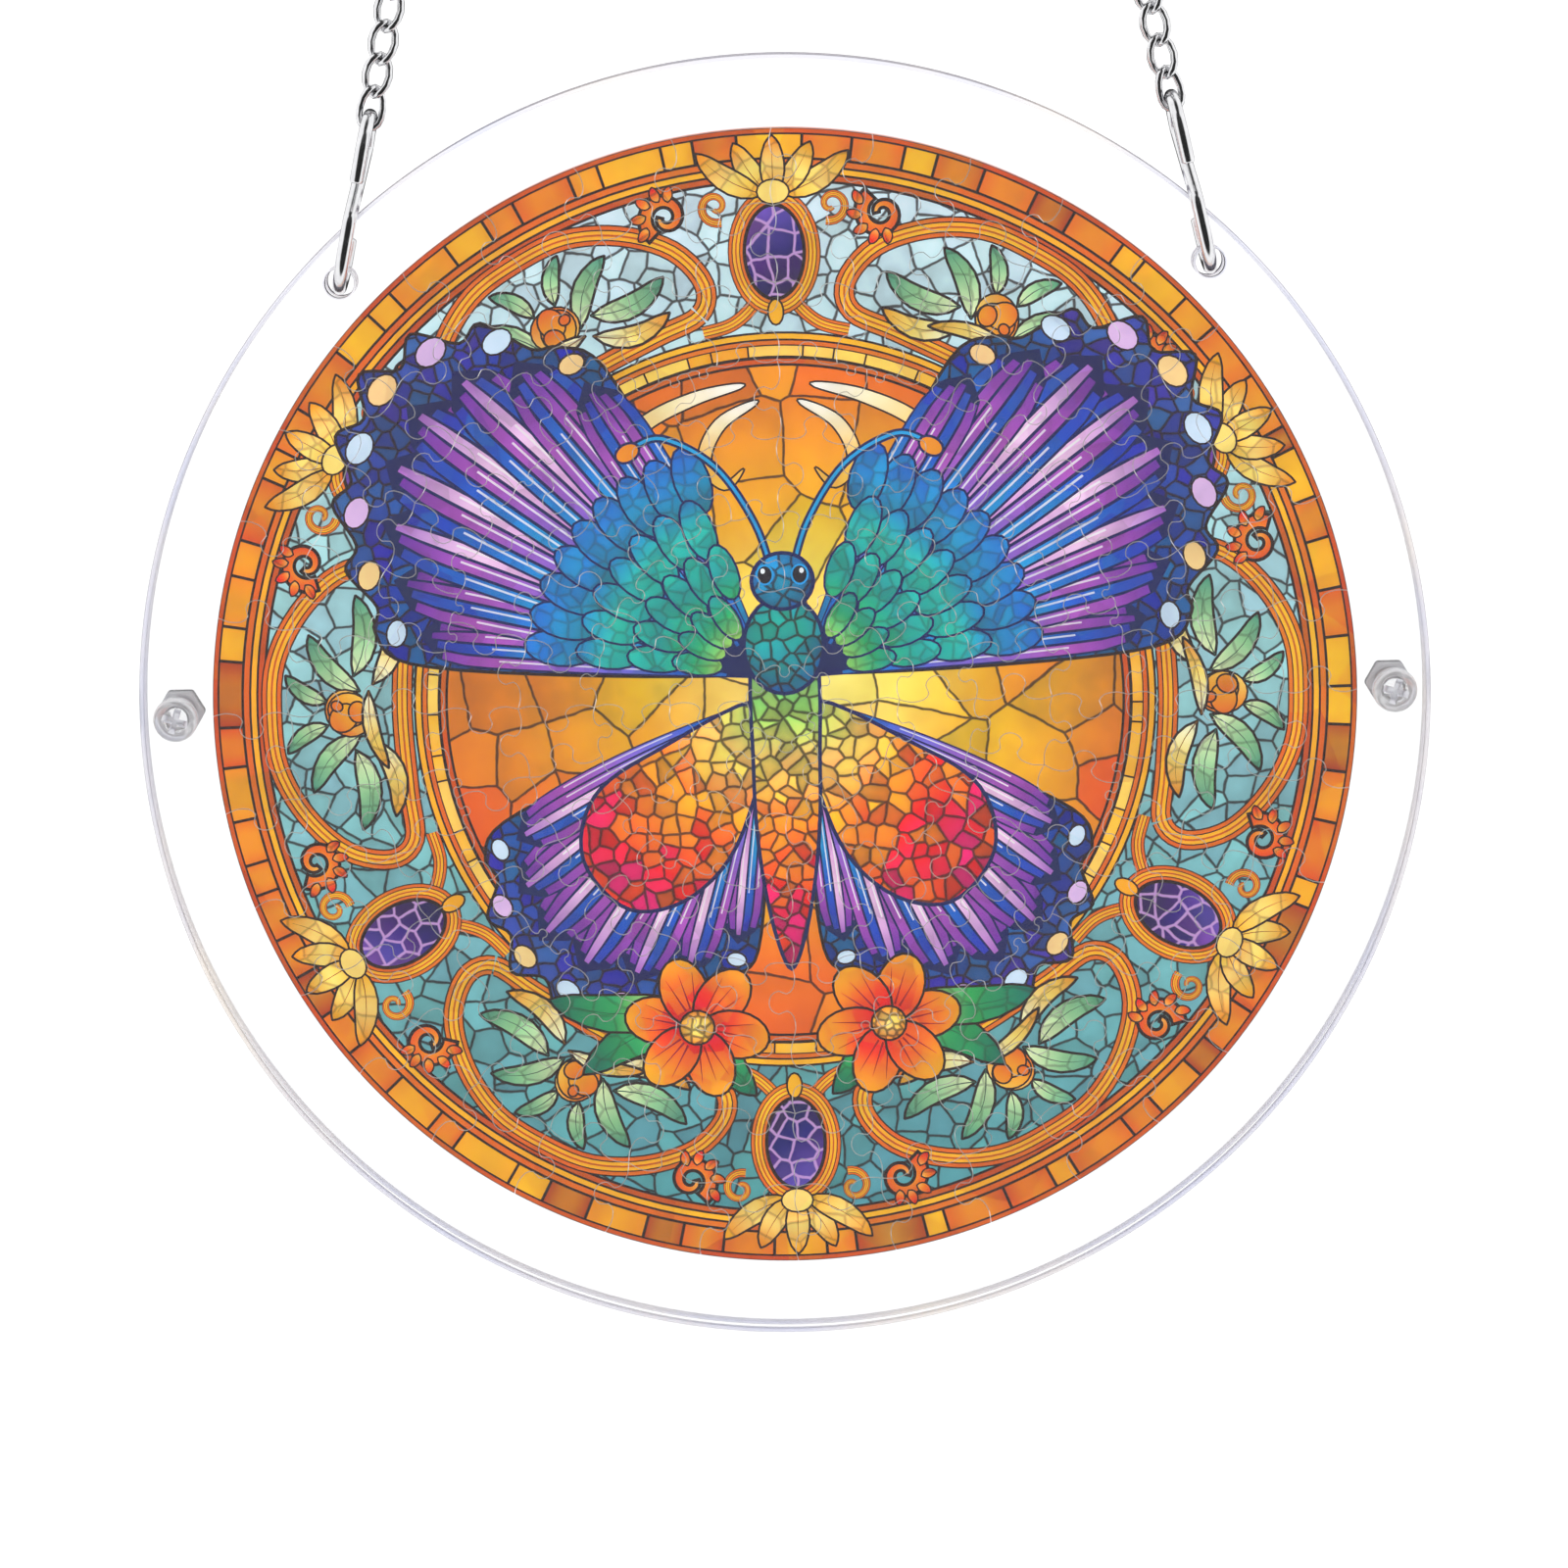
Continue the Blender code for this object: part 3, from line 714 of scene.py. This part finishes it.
def printed_material():
    """The print: each shape's own ink, broken into leaded panes of slightly different tones, and glowing
    faintly in the same colours as painted light.
    """
    # The emission makes the print glow though it is no lamp: painted light.
    material = new_material("ink_with_painted_glow", {"Emission Strength": 0.36, "Specular IOR Level": 0.15})

    def sum_of(operation, first, second):
        return add_node(material, "ShaderNodeMath", {0: first, 1: second}, operation=operation)[0]

    colour = add_node(material, "ShaderNodeAttribute", {}, attribute_name="ink")["Color"]
    cells = add_node(material, "ShaderNodeAttribute", {}, attribute_name="cells")["Vector"]
    per_metre, strength, variety = add_node(material, "ShaderNodeSeparateXYZ", {0: cells})
    upright = add_node(material, "ShaderNodeMapping",
                       {"Vector": coordinates(material), "Rotation": (math.pi / 2, 0, 0)})[0]
    wobble = mottling(material, 300)["Color"]
    shifted = add_node(material, "ShaderNodeVectorMath",
                       {0: wobble, 1: (0.0009, 0.0009, 0.0), 2: upright}, operation="MULTIPLY_ADD")[0]

    grid = {"Vector": shifted, "Scale": per_metre}
    panes, seams = [
        add_node(material, "ShaderNodeTexVoronoi", grid, voronoi_dimensions="2D", feature=feature)
        for feature in ("F1", "DISTANCE_TO_EDGE")]
    pane = add_node(material, "ShaderNodeSeparateColor", {0: panes["Color"]})
    from_seam = sum_of("DIVIDE", seams["Distance"], per_metre)
    line = ranged(material, from_seam, seam_full, seam_faded, 1.0, 0.0)
    plump = ranged(material, seams["Distance"], 0.0, 0.45, -0.5, 0.5)
    streaks = mottling(material, 260, 4)["Fac"]
    streak = sum_of("MULTIPLY", sum_of("SUBTRACT", streaks, 0.5), 0.5)
    lively = sum_of("MULTIPLY", sum_of("SUBTRACT", pane["Red"], 0.5), 0.75)
    light = sum_of("ADD", lively, sum_of("MULTIPLY", plump, 0.22))
    light = sum_of("MULTIPLY", light, variety)
    light = sum_of("ADD", sum_of("ADD", light, streak), 1.0)
    hue = sum_of("MULTIPLY", sum_of("SUBTRACT", pane["Green"], 0.75), 0.06)
    hue = sum_of("ADD", sum_of("MULTIPLY", hue, variety), 0.5)
    varied = add_node(material, "ShaderNodeHueSaturation",
                      {"Hue": hue, "Saturation": 1.08, "Value": light, "Color": colour})[0]

    dark = sum_of("MULTIPLY", line, sum_of("MAXIMUM", strength, 0.0))
    pale = sum_of("MAXIMUM", sum_of("MULTIPLY", strength, -1.0), 0.0)
    inked = mixed(material, dark, varied, (*lead, 1))
    inked = mixed(material, sum_of("MULTIPLY", line, pale), inked, (*pale_seam, 1))
    sheen = ranged(material, streaks, 0.0, 1.0, 0.30, 0.50)
    finish(material, {"Base Color": inked, "Emission Color": inked, "Roughness": sheen})
    return material


ink_with_painted_glow = printed_material()
bare_cut_edge = new_material("bare_cut_edge", {"Roughness": 0.45})
cut_streaks = mottling(bare_cut_edge, 1400)["Fac"]
finish(bare_cut_edge, {
    "Base Color": mixed(bare_cut_edge, cut_streaks, (0.72, 0.72, 0.72, 1), (0.92, 0.91, 0.90, 1))})


def new_object(name, bm, materials):
    """Turn a finished bmesh into an object of the scene."""
    mesh = bpy.data.meshes.new(name)
    bm.to_mesh(mesh)
    bm.free()
    for material in materials:
        mesh.materials.append(material)
    made = bpy.data.objects.new(name, mesh)
    bpy.context.scene.collection.objects.link(made)
    return made


def add_piece(name, bm, materials, replaced):
    """Turn a finished bmesh into one of the object's pieces."""
    piece = new_object(name, bm, materials)
    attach(piece, "root")
    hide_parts(*replaced)
    return piece


def flatten_picture():
    """Cut every shape of the picture by all the shapes above it and by the pieces' outlines.

    Gives the meeting points of the lines, and for each triangle its corners, its piece, its
    uppermost shape and whether it is clear of the bare margin.
    """
    outlines = [outline for ring, index, outline in places]
    pieces = len(outlines)
    outlines += [set_back(outline, bare_margin) for ring, index, outline in places]
    shapes = len(outlines)
    outlines += [outline for outline, paint, cells in picture]
    corners = []
    loops = []
    for outline in outlines:
        loops.append(list(range(len(corners), len(corners) + len(outline))))
        corners += outline
    cut = delaunay_2d_cdt(corners, [], loops, 1, same_crossing, True)
    spots, faces, owners = cut[0], cut[2], cut[5]
    patches = []
    for face, owner in zip(faces, owners):
        piece = min(owner, default=pieces)
        if piece < pieces:
            patches.append((face, piece, max(owner) - shapes, piece + pieces in owner))
    return spots, patches


def make_puzzle():
    spots, patches = flatten_picture()
    shares = [[] for place in places]
    for face, owner, top, printed in patches:
        shares[owner].append((face, top, printed))
    for (ring, index, outline), share in zip(places, shares):
        bm = bmesh.new()
        ink_layer = bm.loops.layers.float_color.new("ink")
        cell_layer = bm.loops.layers.float_vector.new("cells")
        made = {}
        for face, top, printed in share:
            corners = []
            for number in face:
                if number not in made:
                    spot = spots[number] / 1000
                    made[number] = bm.verts.new((spot.x, piece_front, disc_height + spot.y))
                corners.append(made[number])
            patch = bm.faces.new(corners)
            for loop, number in zip(patch.loops, face):
                colour, cells = picture[top][1](spots[number]), picture[top][2]
                if not printed:
                    colour, cells = blended([colour, bare_colour], bare_share), no_cells
                loop[ink_layer] = (*colour, 1)
                loop[cell_layer] = cells
        front = list(bm.faces)
        grown = bmesh.ops.extrude_face_region(bm, geom=front, use_keep_orig=True)
        moved = [item for item in grown["geom"] if isinstance(item, bmesh.types.BMVert)]
        bmesh.ops.translate(bm, verts=moved, vec=(0, piece_back - piece_front, 0))
        bmesh.ops.recalc_face_normals(bm, faces=bm.faces)
        for face in bm.faces:
            face.material_index = 0 if abs(face.normal.y) > 0.5 else 1
            middle = face.calc_center_median()
            from_middle = math.hypot(middle.x, middle.z - disc_height)
            if face.material_index == 1 and from_middle > print_edge:
                face.material_index = 0
                for loop in face.loops:
                    loop[ink_layer] = (*rim_ink, 1)
                    loop[cell_layer] = no_cells
        block = next(number for number, rings in enumerate(ring_blocks) if ring in rings)
        if block == 0:
            replaced = "puzzle_centre"
        else:
            share_of_turn = index * block_counts[block] // pieces_in_rings[ring]
            replaced = f"puzzle_{block_names[block]}_{share_of_turn + 1:02d}"
        name = f"puzzle_piece_{ring}_{index + 1:02d}"
        add_piece(name, bm, [ink_with_painted_glow, bare_cut_edge], [replaced])


make_puzzle()

# Panels: two discs of 2 mm clear acrylic that hold the puzzle between them, cut by laser with
# polished rims. Each has two holes for the screws at its sides and two for the hooks above.
screw_low, screw_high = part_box("screw_right")
hole_circle_radius = (screw_low[0] + screw_high[0]) / 2
hole_radius = 0.00225
hook_hole_angle = 45
rim_facets = 240
hole_facets = 40
rim_round = 0.0007
hole_round = 0.0003
round_steps = 5
same_spot = 1e-6
face_lean = 0.999
wall_lean = 0.55
acrylic_refraction = 1.49


def clear_material(name, colour, roughness, refraction, clearness=1.0):
    return new_material(name, {"Base Color": (*colour, 1), "Roughness": roughness, "IOR": refraction,
                               "Transmission Weight": clearness})


clear_acrylic = clear_material("clear_acrylic", (1.0, 1.0, 1.0), 0.0, acrylic_refraction)


def rim_material(name, darker, paler, clearness):
    """Flame-polished edge of clear acrylic: pale grey with faint lilac and peach tints round it, with
    light and shade painted into its colour and clearness.
    """
    material = clear_material(name, darker, 0.12, acrylic_refraction, clearness)
    drift = ranged(material, mottling(material, 28, 3)["Fac"], 0.36, 0.64, 0.0, 1.0)
    finish(material, {"Base Color": mixed(material, drift, (*darker, 1), (*paler, 1))})
    return material


# The rim's walls get a dark, barely clear copy as painted shade; its rounded corners get a pale copy as
# painted highlight.
rim_wall_painted_shade = rim_material("rim_wall_painted_shade", (0.30, 0.30, 0.38), (0.50, 0.45, 0.42), 0.2)
rim_corner_painted_highlight = rim_material("rim_corner_painted_highlight", (0.78, 0.79, 0.92), (0.96, 0.90, 0.84), 0.5)


def finish_smooth(piece, degrees):
    piece.data.shade_smooth()
    piece.data.set_sharp_from_angle(angle=math.radians(degrees))


def spun(bm, place, profile, facets):
    """A turned shape: a profile of radius and depth spun round the place's own Z axis."""
    spots = [bm.verts.new(place @ Vector((radius, 0, depth))) for radius, depth in profile]
    edges = [bm.edges.new(pair) for pair in zip(spots, spots[1:])]
    bmesh.ops.spin(bm, geom=spots + edges, cent=place.translation, angle=2 * math.pi, steps=facets,
                   axis=place.to_3x3() @ Vector((0, 0, 1)), use_merge=True)


def rounded_wall(radius, rounding, thickness):
    """Profile of a cut wall with polished corners; a negative rounding is that of a hole."""
    quarter = []
    for step in range(round_steps + 1):
        angle = math.pi / 2 * step / round_steps
        quarter.append((rounding * (math.sin(angle) - 1), abs(rounding) * (1 - math.cos(angle))))
    front = [(radius + across, depth) for across, depth in quarter]
    back = [(radius + across, thickness - depth) for across, depth in reversed(quarter)]
    return front + back


def make_panel(name, front_y, back_y):
    bm = bmesh.new()
    inward = Matrix.Rotation(-math.pi / 2, 4, "X")
    thickness = back_y - front_y
    spun(bm, Matrix.Translation((0, front_y, disc_height)) @ inward,
         rounded_wall(disc_radius, rim_round, thickness), rim_facets)
    for degrees in (0, 180, hook_hole_angle, 180 - hook_hole_angle):
        hole = polar(hole_circle_radius, degrees)
        spun(bm, Matrix.Translation((hole.x, front_y, disc_height + hole.y)) @ inward,
             rounded_wall(hole_radius, -hole_round, thickness), hole_facets)
    for y in (front_y, back_y):
        ends = [edge for edge in bm.edges
                if edge.is_boundary and abs(edge.verts[0].co.y - y) < same_spot]
        bmesh.ops.triangle_fill(bm, use_beauty=True, use_dissolve=False, edges=ends)
    bmesh.ops.recalc_face_normals(bm, faces=bm.faces)
    bm.normal_update()
    for face in bm.faces:
        lean = abs(face.normal.y)
        # Walls take the dark rim copy (painted shade) and the rounded corners the pale one (painted
        # highlight).
        face.material_index = 0 if lean > face_lean else 1 if lean < wall_lean else 2
    panel = add_piece(name, bm, [clear_acrylic, rim_wall_painted_shade, rim_corner_painted_highlight], [name])
    finish_smooth(panel, 25)
    for face in panel.data.polygons:
        face.use_smooth = face.material_index != 0


make_panel("front_panel", panel_low[1], panel_high[1])
back_low, back_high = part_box("back_panel")
make_panel("back_panel", back_low[1], back_high[1])

# Screws: two clear nylon pan-head screws, M4, moulded with a cross recess. They go in from the
# front at the left and right of the rim, and the ends of their threads show behind the nuts.
screw_head_radius = 0.00345
screw_head_height = 0.0024
screw_radius = 0.0019
thread_pitch = 0.0007
thread_depth = 0.00028
thread_run_out = 0.0003
screw_facets = 36
recess_depth = 0.0011
recess_overshoot = 0.0003
recess_mouth = (0.0023, 0.0006)
recess_floor = (0.0012, 0.00034)
recess_turn = math.radians(18)
recess_reach = 0.0022
nylon_refraction = 1.53
pan_head = ((0.40, 1.00), (0.60, 0.97), (0.76, 0.90), (0.88, 0.78), (0.96, 0.60), (1.00, 0.36),
            (1.00, 0.06), (0.97, 0.00))


def relief(material, height, strength, distance):
    """Fine unevenness of the surface, in metres."""
    inputs = {"Height": height, "Strength": strength, "Distance": distance}
    return add_node(material, "ShaderNodeBump", inputs)[0]


def moulded_material(name, colour, clearness):
    """Clear nylon: see-through, with the faint haze and flow marks of moulding."""
    material = clear_material(name, colour, 0.12, nylon_refraction, clearness)
    marks = mottling(material, 900, 3)["Fac"]
    finish(material, {"Roughness": ranged(material, marks, 0.0, 1.0, 0.06, 0.22),
                      "Normal": relief(material, marks, 0.25, 0.00005)})
    return material


clear_nylon = moulded_material("clear_nylon", (0.96, 0.96, 0.97), 0.88)
# A darker, less clear copy of the screws' nylon: painted shade for the cross recess and under the rim of
# the head.
recess_nylon_painted_shade = moulded_material("recess_nylon_painted_shade", (0.74, 0.74, 0.79), 0.5)


def carved(bm, tool):
    """The first closed shape with the second one cut out of it."""
    things = []
    for shape in (bm, tool):
        bmesh.ops.recalc_face_normals(shape, faces=shape.faces)
        things.append(new_object("carving", shape, []))
    body, cutter = things
    modifier = body.modifiers.new("Cut", "BOOLEAN")
    modifier.operation = "DIFFERENCE"
    modifier.solver = "EXACT"
    modifier.object = cutter
    result = bmesh.new()
    result.from_mesh(body.evaluated_get(bpy.context.evaluated_depsgraph_get()).to_mesh())
    for thing in things:
        mesh = thing.data
        bpy.data.objects.remove(thing)
        bpy.data.meshes.remove(mesh)
    return result


def along_depth(low, high, y):
    """Where a turned piece stands: local +Z along +Y, centred in its solid's box."""
    middle = ((low[0] + high[0]) / 2, y, (low[2] + high[2]) / 2)
    return Matrix.Translation(middle) @ Matrix.Rotation(-math.pi / 2, 4, "X")


def cross_tool(place):
    """The tapering cross that is sunk into a screw's head."""
    tool = bmesh.new()
    bmesh.ops.create_grid(tool, x_segments=3, y_segments=3, size=1)
    corners = []
    for face in tool.faces:
        middle = face.calc_center_median()
        if min(abs(middle.x), abs(middle.y)) > 0.5:
            corners.append(face)
    bmesh.ops.delete(tool, geom=corners, context="FACES")
    grown = bmesh.ops.extrude_face_region(tool, geom=list(tool.faces), use_keep_orig=True)
    floor_verts = {item for item in grown["geom"] if isinstance(item, bmesh.types.BMVert)}
    for vert in tool.verts:
        length, width = recess_floor if vert in floor_verts else recess_mouth
        for axis in (0, 1):
            reach = length if abs(vert.co[axis]) > 0.5 else width
            vert.co[axis] = math.copysign(reach, vert.co[axis])
        vert.co.z = (recess_depth if vert in floor_verts else -recess_overshoot) - screw_head_height
    bmesh.ops.transform(tool, matrix=place @ Matrix.Rotation(recess_turn, 4, "Z"), verts=tool.verts)
    return tool


def make_screw(name):
    low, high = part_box(name)
    place = along_depth(low, high, low[1] + screw_head_height)
    shank = high[1] - low[1] - screw_head_height
    root_radius = screw_radius - thread_depth
    profile = [(0, -screw_head_height)]
    profile += [(radius * screw_head_radius, -height * screw_head_height) for radius, height in pan_head]
    profile.append((screw_radius, 0))
    depth = 0.0
    while depth < shank - 1.5 * thread_pitch:
        for radius, share in ((screw_radius, 0.1), (root_radius, 0.5), (screw_radius, 0.9)):
            profile.append((radius, depth + share * thread_pitch))
        depth += thread_pitch
    profile += [(root_radius, shank - thread_run_out), (0.8 * screw_radius, shank), (0, shank)]
    bm = bmesh.new()
    spun(bm, place, profile, screw_facets)
    bmesh.ops.remove_doubles(bm, verts=bm.verts, dist=same_spot)
    bm = carved(bm, cross_tool(place))
    recess_bottom = 1.3 * recess_depth - screw_head_height
    for face in bm.faces:
        middle = face.calc_center_median() - place.translation
        across = math.hypot(middle.x, middle.z)
        in_recess = across < recess_reach and -0.9 * screw_head_height < middle.y < recess_bottom
        under_edge = middle.y > -0.3 * screw_head_height and across > 0.9 * screw_head_radius
        # The recess and the underside of the head's rim take the darker nylon: painted shade.
        face.material_index = 1 if in_recess or under_edge else 0
    finish_smooth(add_piece(name, bm, [clear_nylon, recess_nylon_painted_shade], [name]), 35)


make_screw("screw_left")
make_screw("screw_right")

# Nuts: clear nylon hexagon nuts behind the back panel, chamfered, on the ends of the screws.
nut_flat = 0.0033
nut_corner_cut = 0.00035
nut_bore_radius = 0.00198
bore_overshoot = 0.0002
bore_ridges = 5
bore_ridge_depth = 0.00022
nut_facets = 36
# The nuts' nylon is greyer and less clear than the screws', as painted shade.
nut_nylon_painted_shade = moulded_material("nut_nylon_painted_shade", (0.78, 0.78, 0.81), 0.55)


def make_nut(name):
    low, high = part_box(name)
    place = along_depth(low, high, low[1])
    thickness = high[1] - low[1]
    corner_radius = nut_flat / math.cos(math.radians(30))
    middle = place @ Matrix.Translation((0, 0, thickness / 2)) @ Matrix.Rotation(math.pi / 6, 4, "Z")
    bm = bmesh.new()
    bmesh.ops.create_cone(bm, cap_ends=True, segments=6, radius1=corner_radius,
                          radius2=corner_radius, depth=thickness, matrix=middle)
    bmesh.ops.bevel(bm, geom=list(bm.verts) + list(bm.edges), offset=nut_corner_cut,
                    offset_type="OFFSET", segments=2, profile=0.5, affect="EDGES", material=-1)
    profile = [(0, -bore_overshoot)]
    for step in range(2 * bore_ridges + 1):
        depth = -bore_overshoot + (thickness + 2 * bore_overshoot) * step / (2 * bore_ridges)
        profile.append((nut_bore_radius + (bore_ridge_depth if step % 2 else 0), depth))
    profile.append((0, thickness + bore_overshoot))
    tool = bmesh.new()
    spun(tool, place, profile, nut_facets)
    bmesh.ops.remove_doubles(tool, verts=tool.verts, dist=same_spot)
    bm = carved(bm, tool)
    finish_smooth(add_piece(name, bm, [nut_nylon_painted_shade], [name]), 25)


make_nut("nut_left")
make_nut("nut_right")

# S-hooks: bright steel wire bent into an S, through a hole in both panels below and the chain's
# first link above. Each stands in the plane of its leg of the chain.
wire_radius = 0.00105
hook_reach = 0.00575
hook_top = 0.0269
hook_drop = 0.0010086
hook_turn = 0.0022
hook_corners = (
    (-hook_reach, hook_top - hook_reach - 0.0045, 0), (-hook_reach, hook_top, hook_reach),
    (hook_reach, hook_top, hook_reach), (hook_reach, hook_top - hook_reach, hook_turn),
    (-hook_reach, 0.0110, hook_turn), (-hook_reach, 0, hook_reach), (hook_reach, 0, hook_reach),
    (hook_reach, hook_reach + 0.0018, 0))
hook_sides = 16
blunt_end = ((0.60, 0.0), (0.88, 0.12), (1.0, 0.34))
middle_spread = 0.0016
leg_top = -0.0022885

# The steel is bright, with fine drawing marks and smears in its shine.
polished_steel = new_material("polished_steel", {"Metallic": 1.0})
smears = mottling(polished_steel, 700, 5)["Fac"]
finish(polished_steel, {
    "Base Color": mixed(polished_steel, smears, (0.62, 0.62, 0.64, 1), (0.86, 0.86, 0.87, 1)),
    "Roughness": ranged(polished_steel, smears, 0.0, 1.0, 0.08, 0.26),
    "Normal": relief(polished_steel, smears, 0.15, 0.00003)})


def leg_frame(side):
    """Axes of one leg of the chain: across it, along +Y, and up along it from the hook hole."""
    hole = polar(hole_circle_radius, hook_hole_angle)
    foot = Vector((side * hole.x, 0, disc_height + hole.y))
    up = (Vector((side * middle_spread, 0, leg_top)) - foot).normalized()
    depth = Vector((0, 1, 0))
    across = depth.cross(up)
    return Matrix.Translation(foot) @ Matrix((across, depth, up)).transposed().to_4x4()


def bent_path(corners):
    """Points along a wire bent round pins: straight runs joined by arcs.

    Each corner is (depth, height, radius). The first and last are the wire's ends.
    """
    points = [Vector(corners[0][:2])]
    for before, here, after in zip(corners, corners[1:], corners[2:]):
        corner = Vector(here[:2])
        back = (Vector(before[:2]) - corner).normalized()
        ahead = (Vector(after[:2]) - corner).normalized()
        opening = back.angle(ahead)
        centre = corner + (back + ahead).normalized() * here[2] / math.sin(opening / 2)
        first = corner + back * here[2] / math.tan(opening / 2) - centre
        turn = math.pi - opening
        if first.cross(back) > 0:
            turn = -turn
        steps = max(2, round(abs(turn) / math.radians(9)))
        for step in range(steps + 1):
            spoke = first.copy()
            spoke.rotate(Matrix.Rotation(turn * step / steps, 2))
            points.append(centre + spoke)
    points.append(Vector(corners[-1][:2]))
    kept = [points[0]]
    for point in points[1:]:
        if (point - kept[-1]).length > wire_radius / 10:
            kept.append(point)
    return kept


def wire_ring(bm, place, middle, outward, tangent, radius, sides):
    """A round section of the wire, square to its middle line."""
    turn = Matrix((outward, tangent.cross(outward), tangent)).transposed().to_4x4()
    made = bmesh.ops.create_circle(bm, segments=sides, radius=radius,
                                   matrix=place @ Matrix.Translation(middle) @ turn)
    return list({edge for vert in made["verts"] for edge in vert.link_edges})


def skin(bm, rings, closed=False):
    """Bridge each section to the next, and cap the two ends of an open wire."""
    for ring, after in zip(rings, rings[1:] + rings[:1] if closed else rings[1:]):
        bmesh.ops.bridge_loops(bm, edges=ring + after)
    if not closed:
        bmesh.ops.holes_fill(bm, edges=rings[0] + rings[-1], sides=0)


def make_hook(name, side):
    place = leg_frame(side)
    path = [Vector((0, depth, height - hook_drop)) for depth, height in bent_path(hook_corners)]
    across = Vector((1, 0, 0))
    start = (path[1] - path[0]).normalized()
    end = (path[-1] - path[-2]).normalized()
    sections = [(path[0] + start * back * wire_radius, start, share) for share, back in blunt_end]
    for before, spot, after in zip(path, path[1:], path[2:]):
        tangent = ((after - spot).normalized() + (spot - before).normalized()).normalized()
        sections.append((spot, tangent, 1.0))
    sections += [(path[-1] - end * back * wire_radius, end, share) for share, back in blunt_end[::-1]]
    bm = bmesh.new()
    skin(bm, [wire_ring(bm, place, spot, across, tangent, share * wire_radius, hook_sides)
              for spot, tangent, share in sections])
    bmesh.ops.recalc_face_normals(bm, faces=bm.faces)
    finish_smooth(add_piece(name, bm, [polished_steel], [name]), 50)


make_hook("s_hook_left", -1)
make_hook("s_hook_right", 1)

# Chain: twisted curb links of steel wire, 57 to a leg, hung from one middle link that lies along X.
# Every link is turned a quarter between its foot and its head, so that each sits square in the next.
links_per_leg = 57
link_pitch = 0.00505
first_link_start = 0.024541
link_wire_radius = 0.000575
link_half_width = 0.001825
link_half_length = link_pitch / 2 + link_wire_radius
link_stations = 16
link_sides = 8
link_squareness = 0.85
middle_link_height = -0.00162


def add_link(bm, place, foot_turn, head_turn):
    """One link round its own middle, along local Z, twisted from its foot's turn to its head's."""
    spots = []
    for station in range(link_stations):
        turn = 2 * math.pi * station / link_stations
        across, along = [math.copysign(abs(value) ** link_squareness, value)
                         for value in (math.cos(turn), math.sin(turn))]
        twist = math.radians(foot_turn + (head_turn - foot_turn) * (along + 1) / 2)
        flat = Vector((across * link_half_width, 0, along * link_half_length))
        spots.append(Matrix.Rotation(twist, 3, "Z") @ flat)
    rings = []
    for station, spot in enumerate(spots):
        ahead = spots[(station + 1) % link_stations] - spot
        behind = spot - spots[station - 1]
        tangent = (ahead.normalized() + behind.normalized()).normalized()
        outward = (spot - tangent * spot.dot(tangent)).normalized()
        rings.append(wire_ring(bm, place, spot, outward, tangent, link_wire_radius, link_sides))
    skin(bm, rings, closed=True)


def make_leg(name, side):
    place = leg_frame(side)
    bm = bmesh.new()
    for index in range(links_per_leg):
        height = first_link_start + link_pitch * (index + 0.5)
        foot_turn = 0 if index == 0 else -45
        head_turn = -90 if index == links_per_leg - 1 else 45
        add_link(bm, place @ Matrix.Translation((0, 0, height)), foot_turn, head_turn)
    bmesh.ops.recalc_face_normals(bm, faces=bm.faces)
    finish_smooth(add_piece(name, bm, [polished_steel], [name]), 60)


make_leg("chain_left", -1)
make_leg("chain_right", 1)
middle_link = bmesh.new()
lying = Matrix.Translation((0, 0, middle_link_height)) @ Matrix.Rotation(math.pi / 2, 4, "Y")
add_link(middle_link, lying, 0, 0)
bmesh.ops.recalc_face_normals(middle_link, faces=middle_link.faces)
finish_smooth(add_piece("chain_middle_link", middle_link, [polished_steel],
                        ["chain_middle_link"]), 60)

# Floor and light: a wide pale floor far below and an even white studio round it, with soft dark
# fields in front, behind and above that only the gloss of the metal and the panels shows.
floor_drop = 0.60
floor_reach = 20
studio_light = 1.2
card_light = 0.03


def add_sheet(name, size, place, material):
    """A flat sheet of the studio, which isn't part of the object."""
    bm = bmesh.new()
    bmesh.ops.create_grid(bm, x_segments=1, y_segments=1, size=size, matrix=place)
    sheet = new_object(name, bm, [material])
    return sheet


pale_floor = new_material("pale_floor", {"Base Color": (0.93, 0.93, 0.94, 1), "Roughness": 0.9})
floor = add_sheet("floor", floor_reach, Matrix.Translation((0, 0, -floor_drop)), pale_floor)
floor.visible_glossy = False
world = bpy.data.worlds.new("studio")
world.use_nodes = True
fill(world.node_tree.nodes["Background"], {"Color": (1, 1, 1, 1), "Strength": studio_light})
bpy.context.scene.world = world


def make_card(name, centre, tilt, plateau, reach, length):
    """A soft-edged dark field that shows only in gloss and fades into the light round it."""
    material = new_material(name, {})
    nodes = material.node_tree.nodes
    nodes.remove(nodes["Principled BSDF"])
    stretch = {"Location": centre, "Rotation": (tilt, 0, 0), "Scale": (1, length, 1)}
    centred = add_node(material, "ShaderNodeMapping", {"Vector": coordinates(material), **stretch},
                       vector_type="TEXTURE")[0]
    away = add_node(material, "ShaderNodeVectorMath", {0: centred}, operation="LENGTH")["Value"]
    light = ranged(material, away, plateau, reach, card_light, studio_light,
                   interpolation_type="SMOOTHSTEP")
    fill(nodes["Material Output"],
         {"Surface": add_node(material, "ShaderNodeEmission", {"Strength": light})[0]})
    place = Matrix.Translation(centre) @ Matrix.Rotation(tilt, 4, "X")
    card = add_sheet(name, reach, place @ Matrix.Diagonal((1, length, 1, 1)), material)
    card.visible_camera = False
    card.visible_diffuse = False
    card.visible_transmission = False
    card.visible_shadow = False


make_card("card_in_front", (0.25, -1.3, -0.2), math.pi / 2, 1.2, 1.8, 2.0)
make_card("card_behind", (0.0, 1.0, -0.35), math.pi / 2, 0.45, 0.9, 1.3)
make_card("card_above", (0.15, -0.7, 1.6), 0, 0.5, 1.1, 1.6)
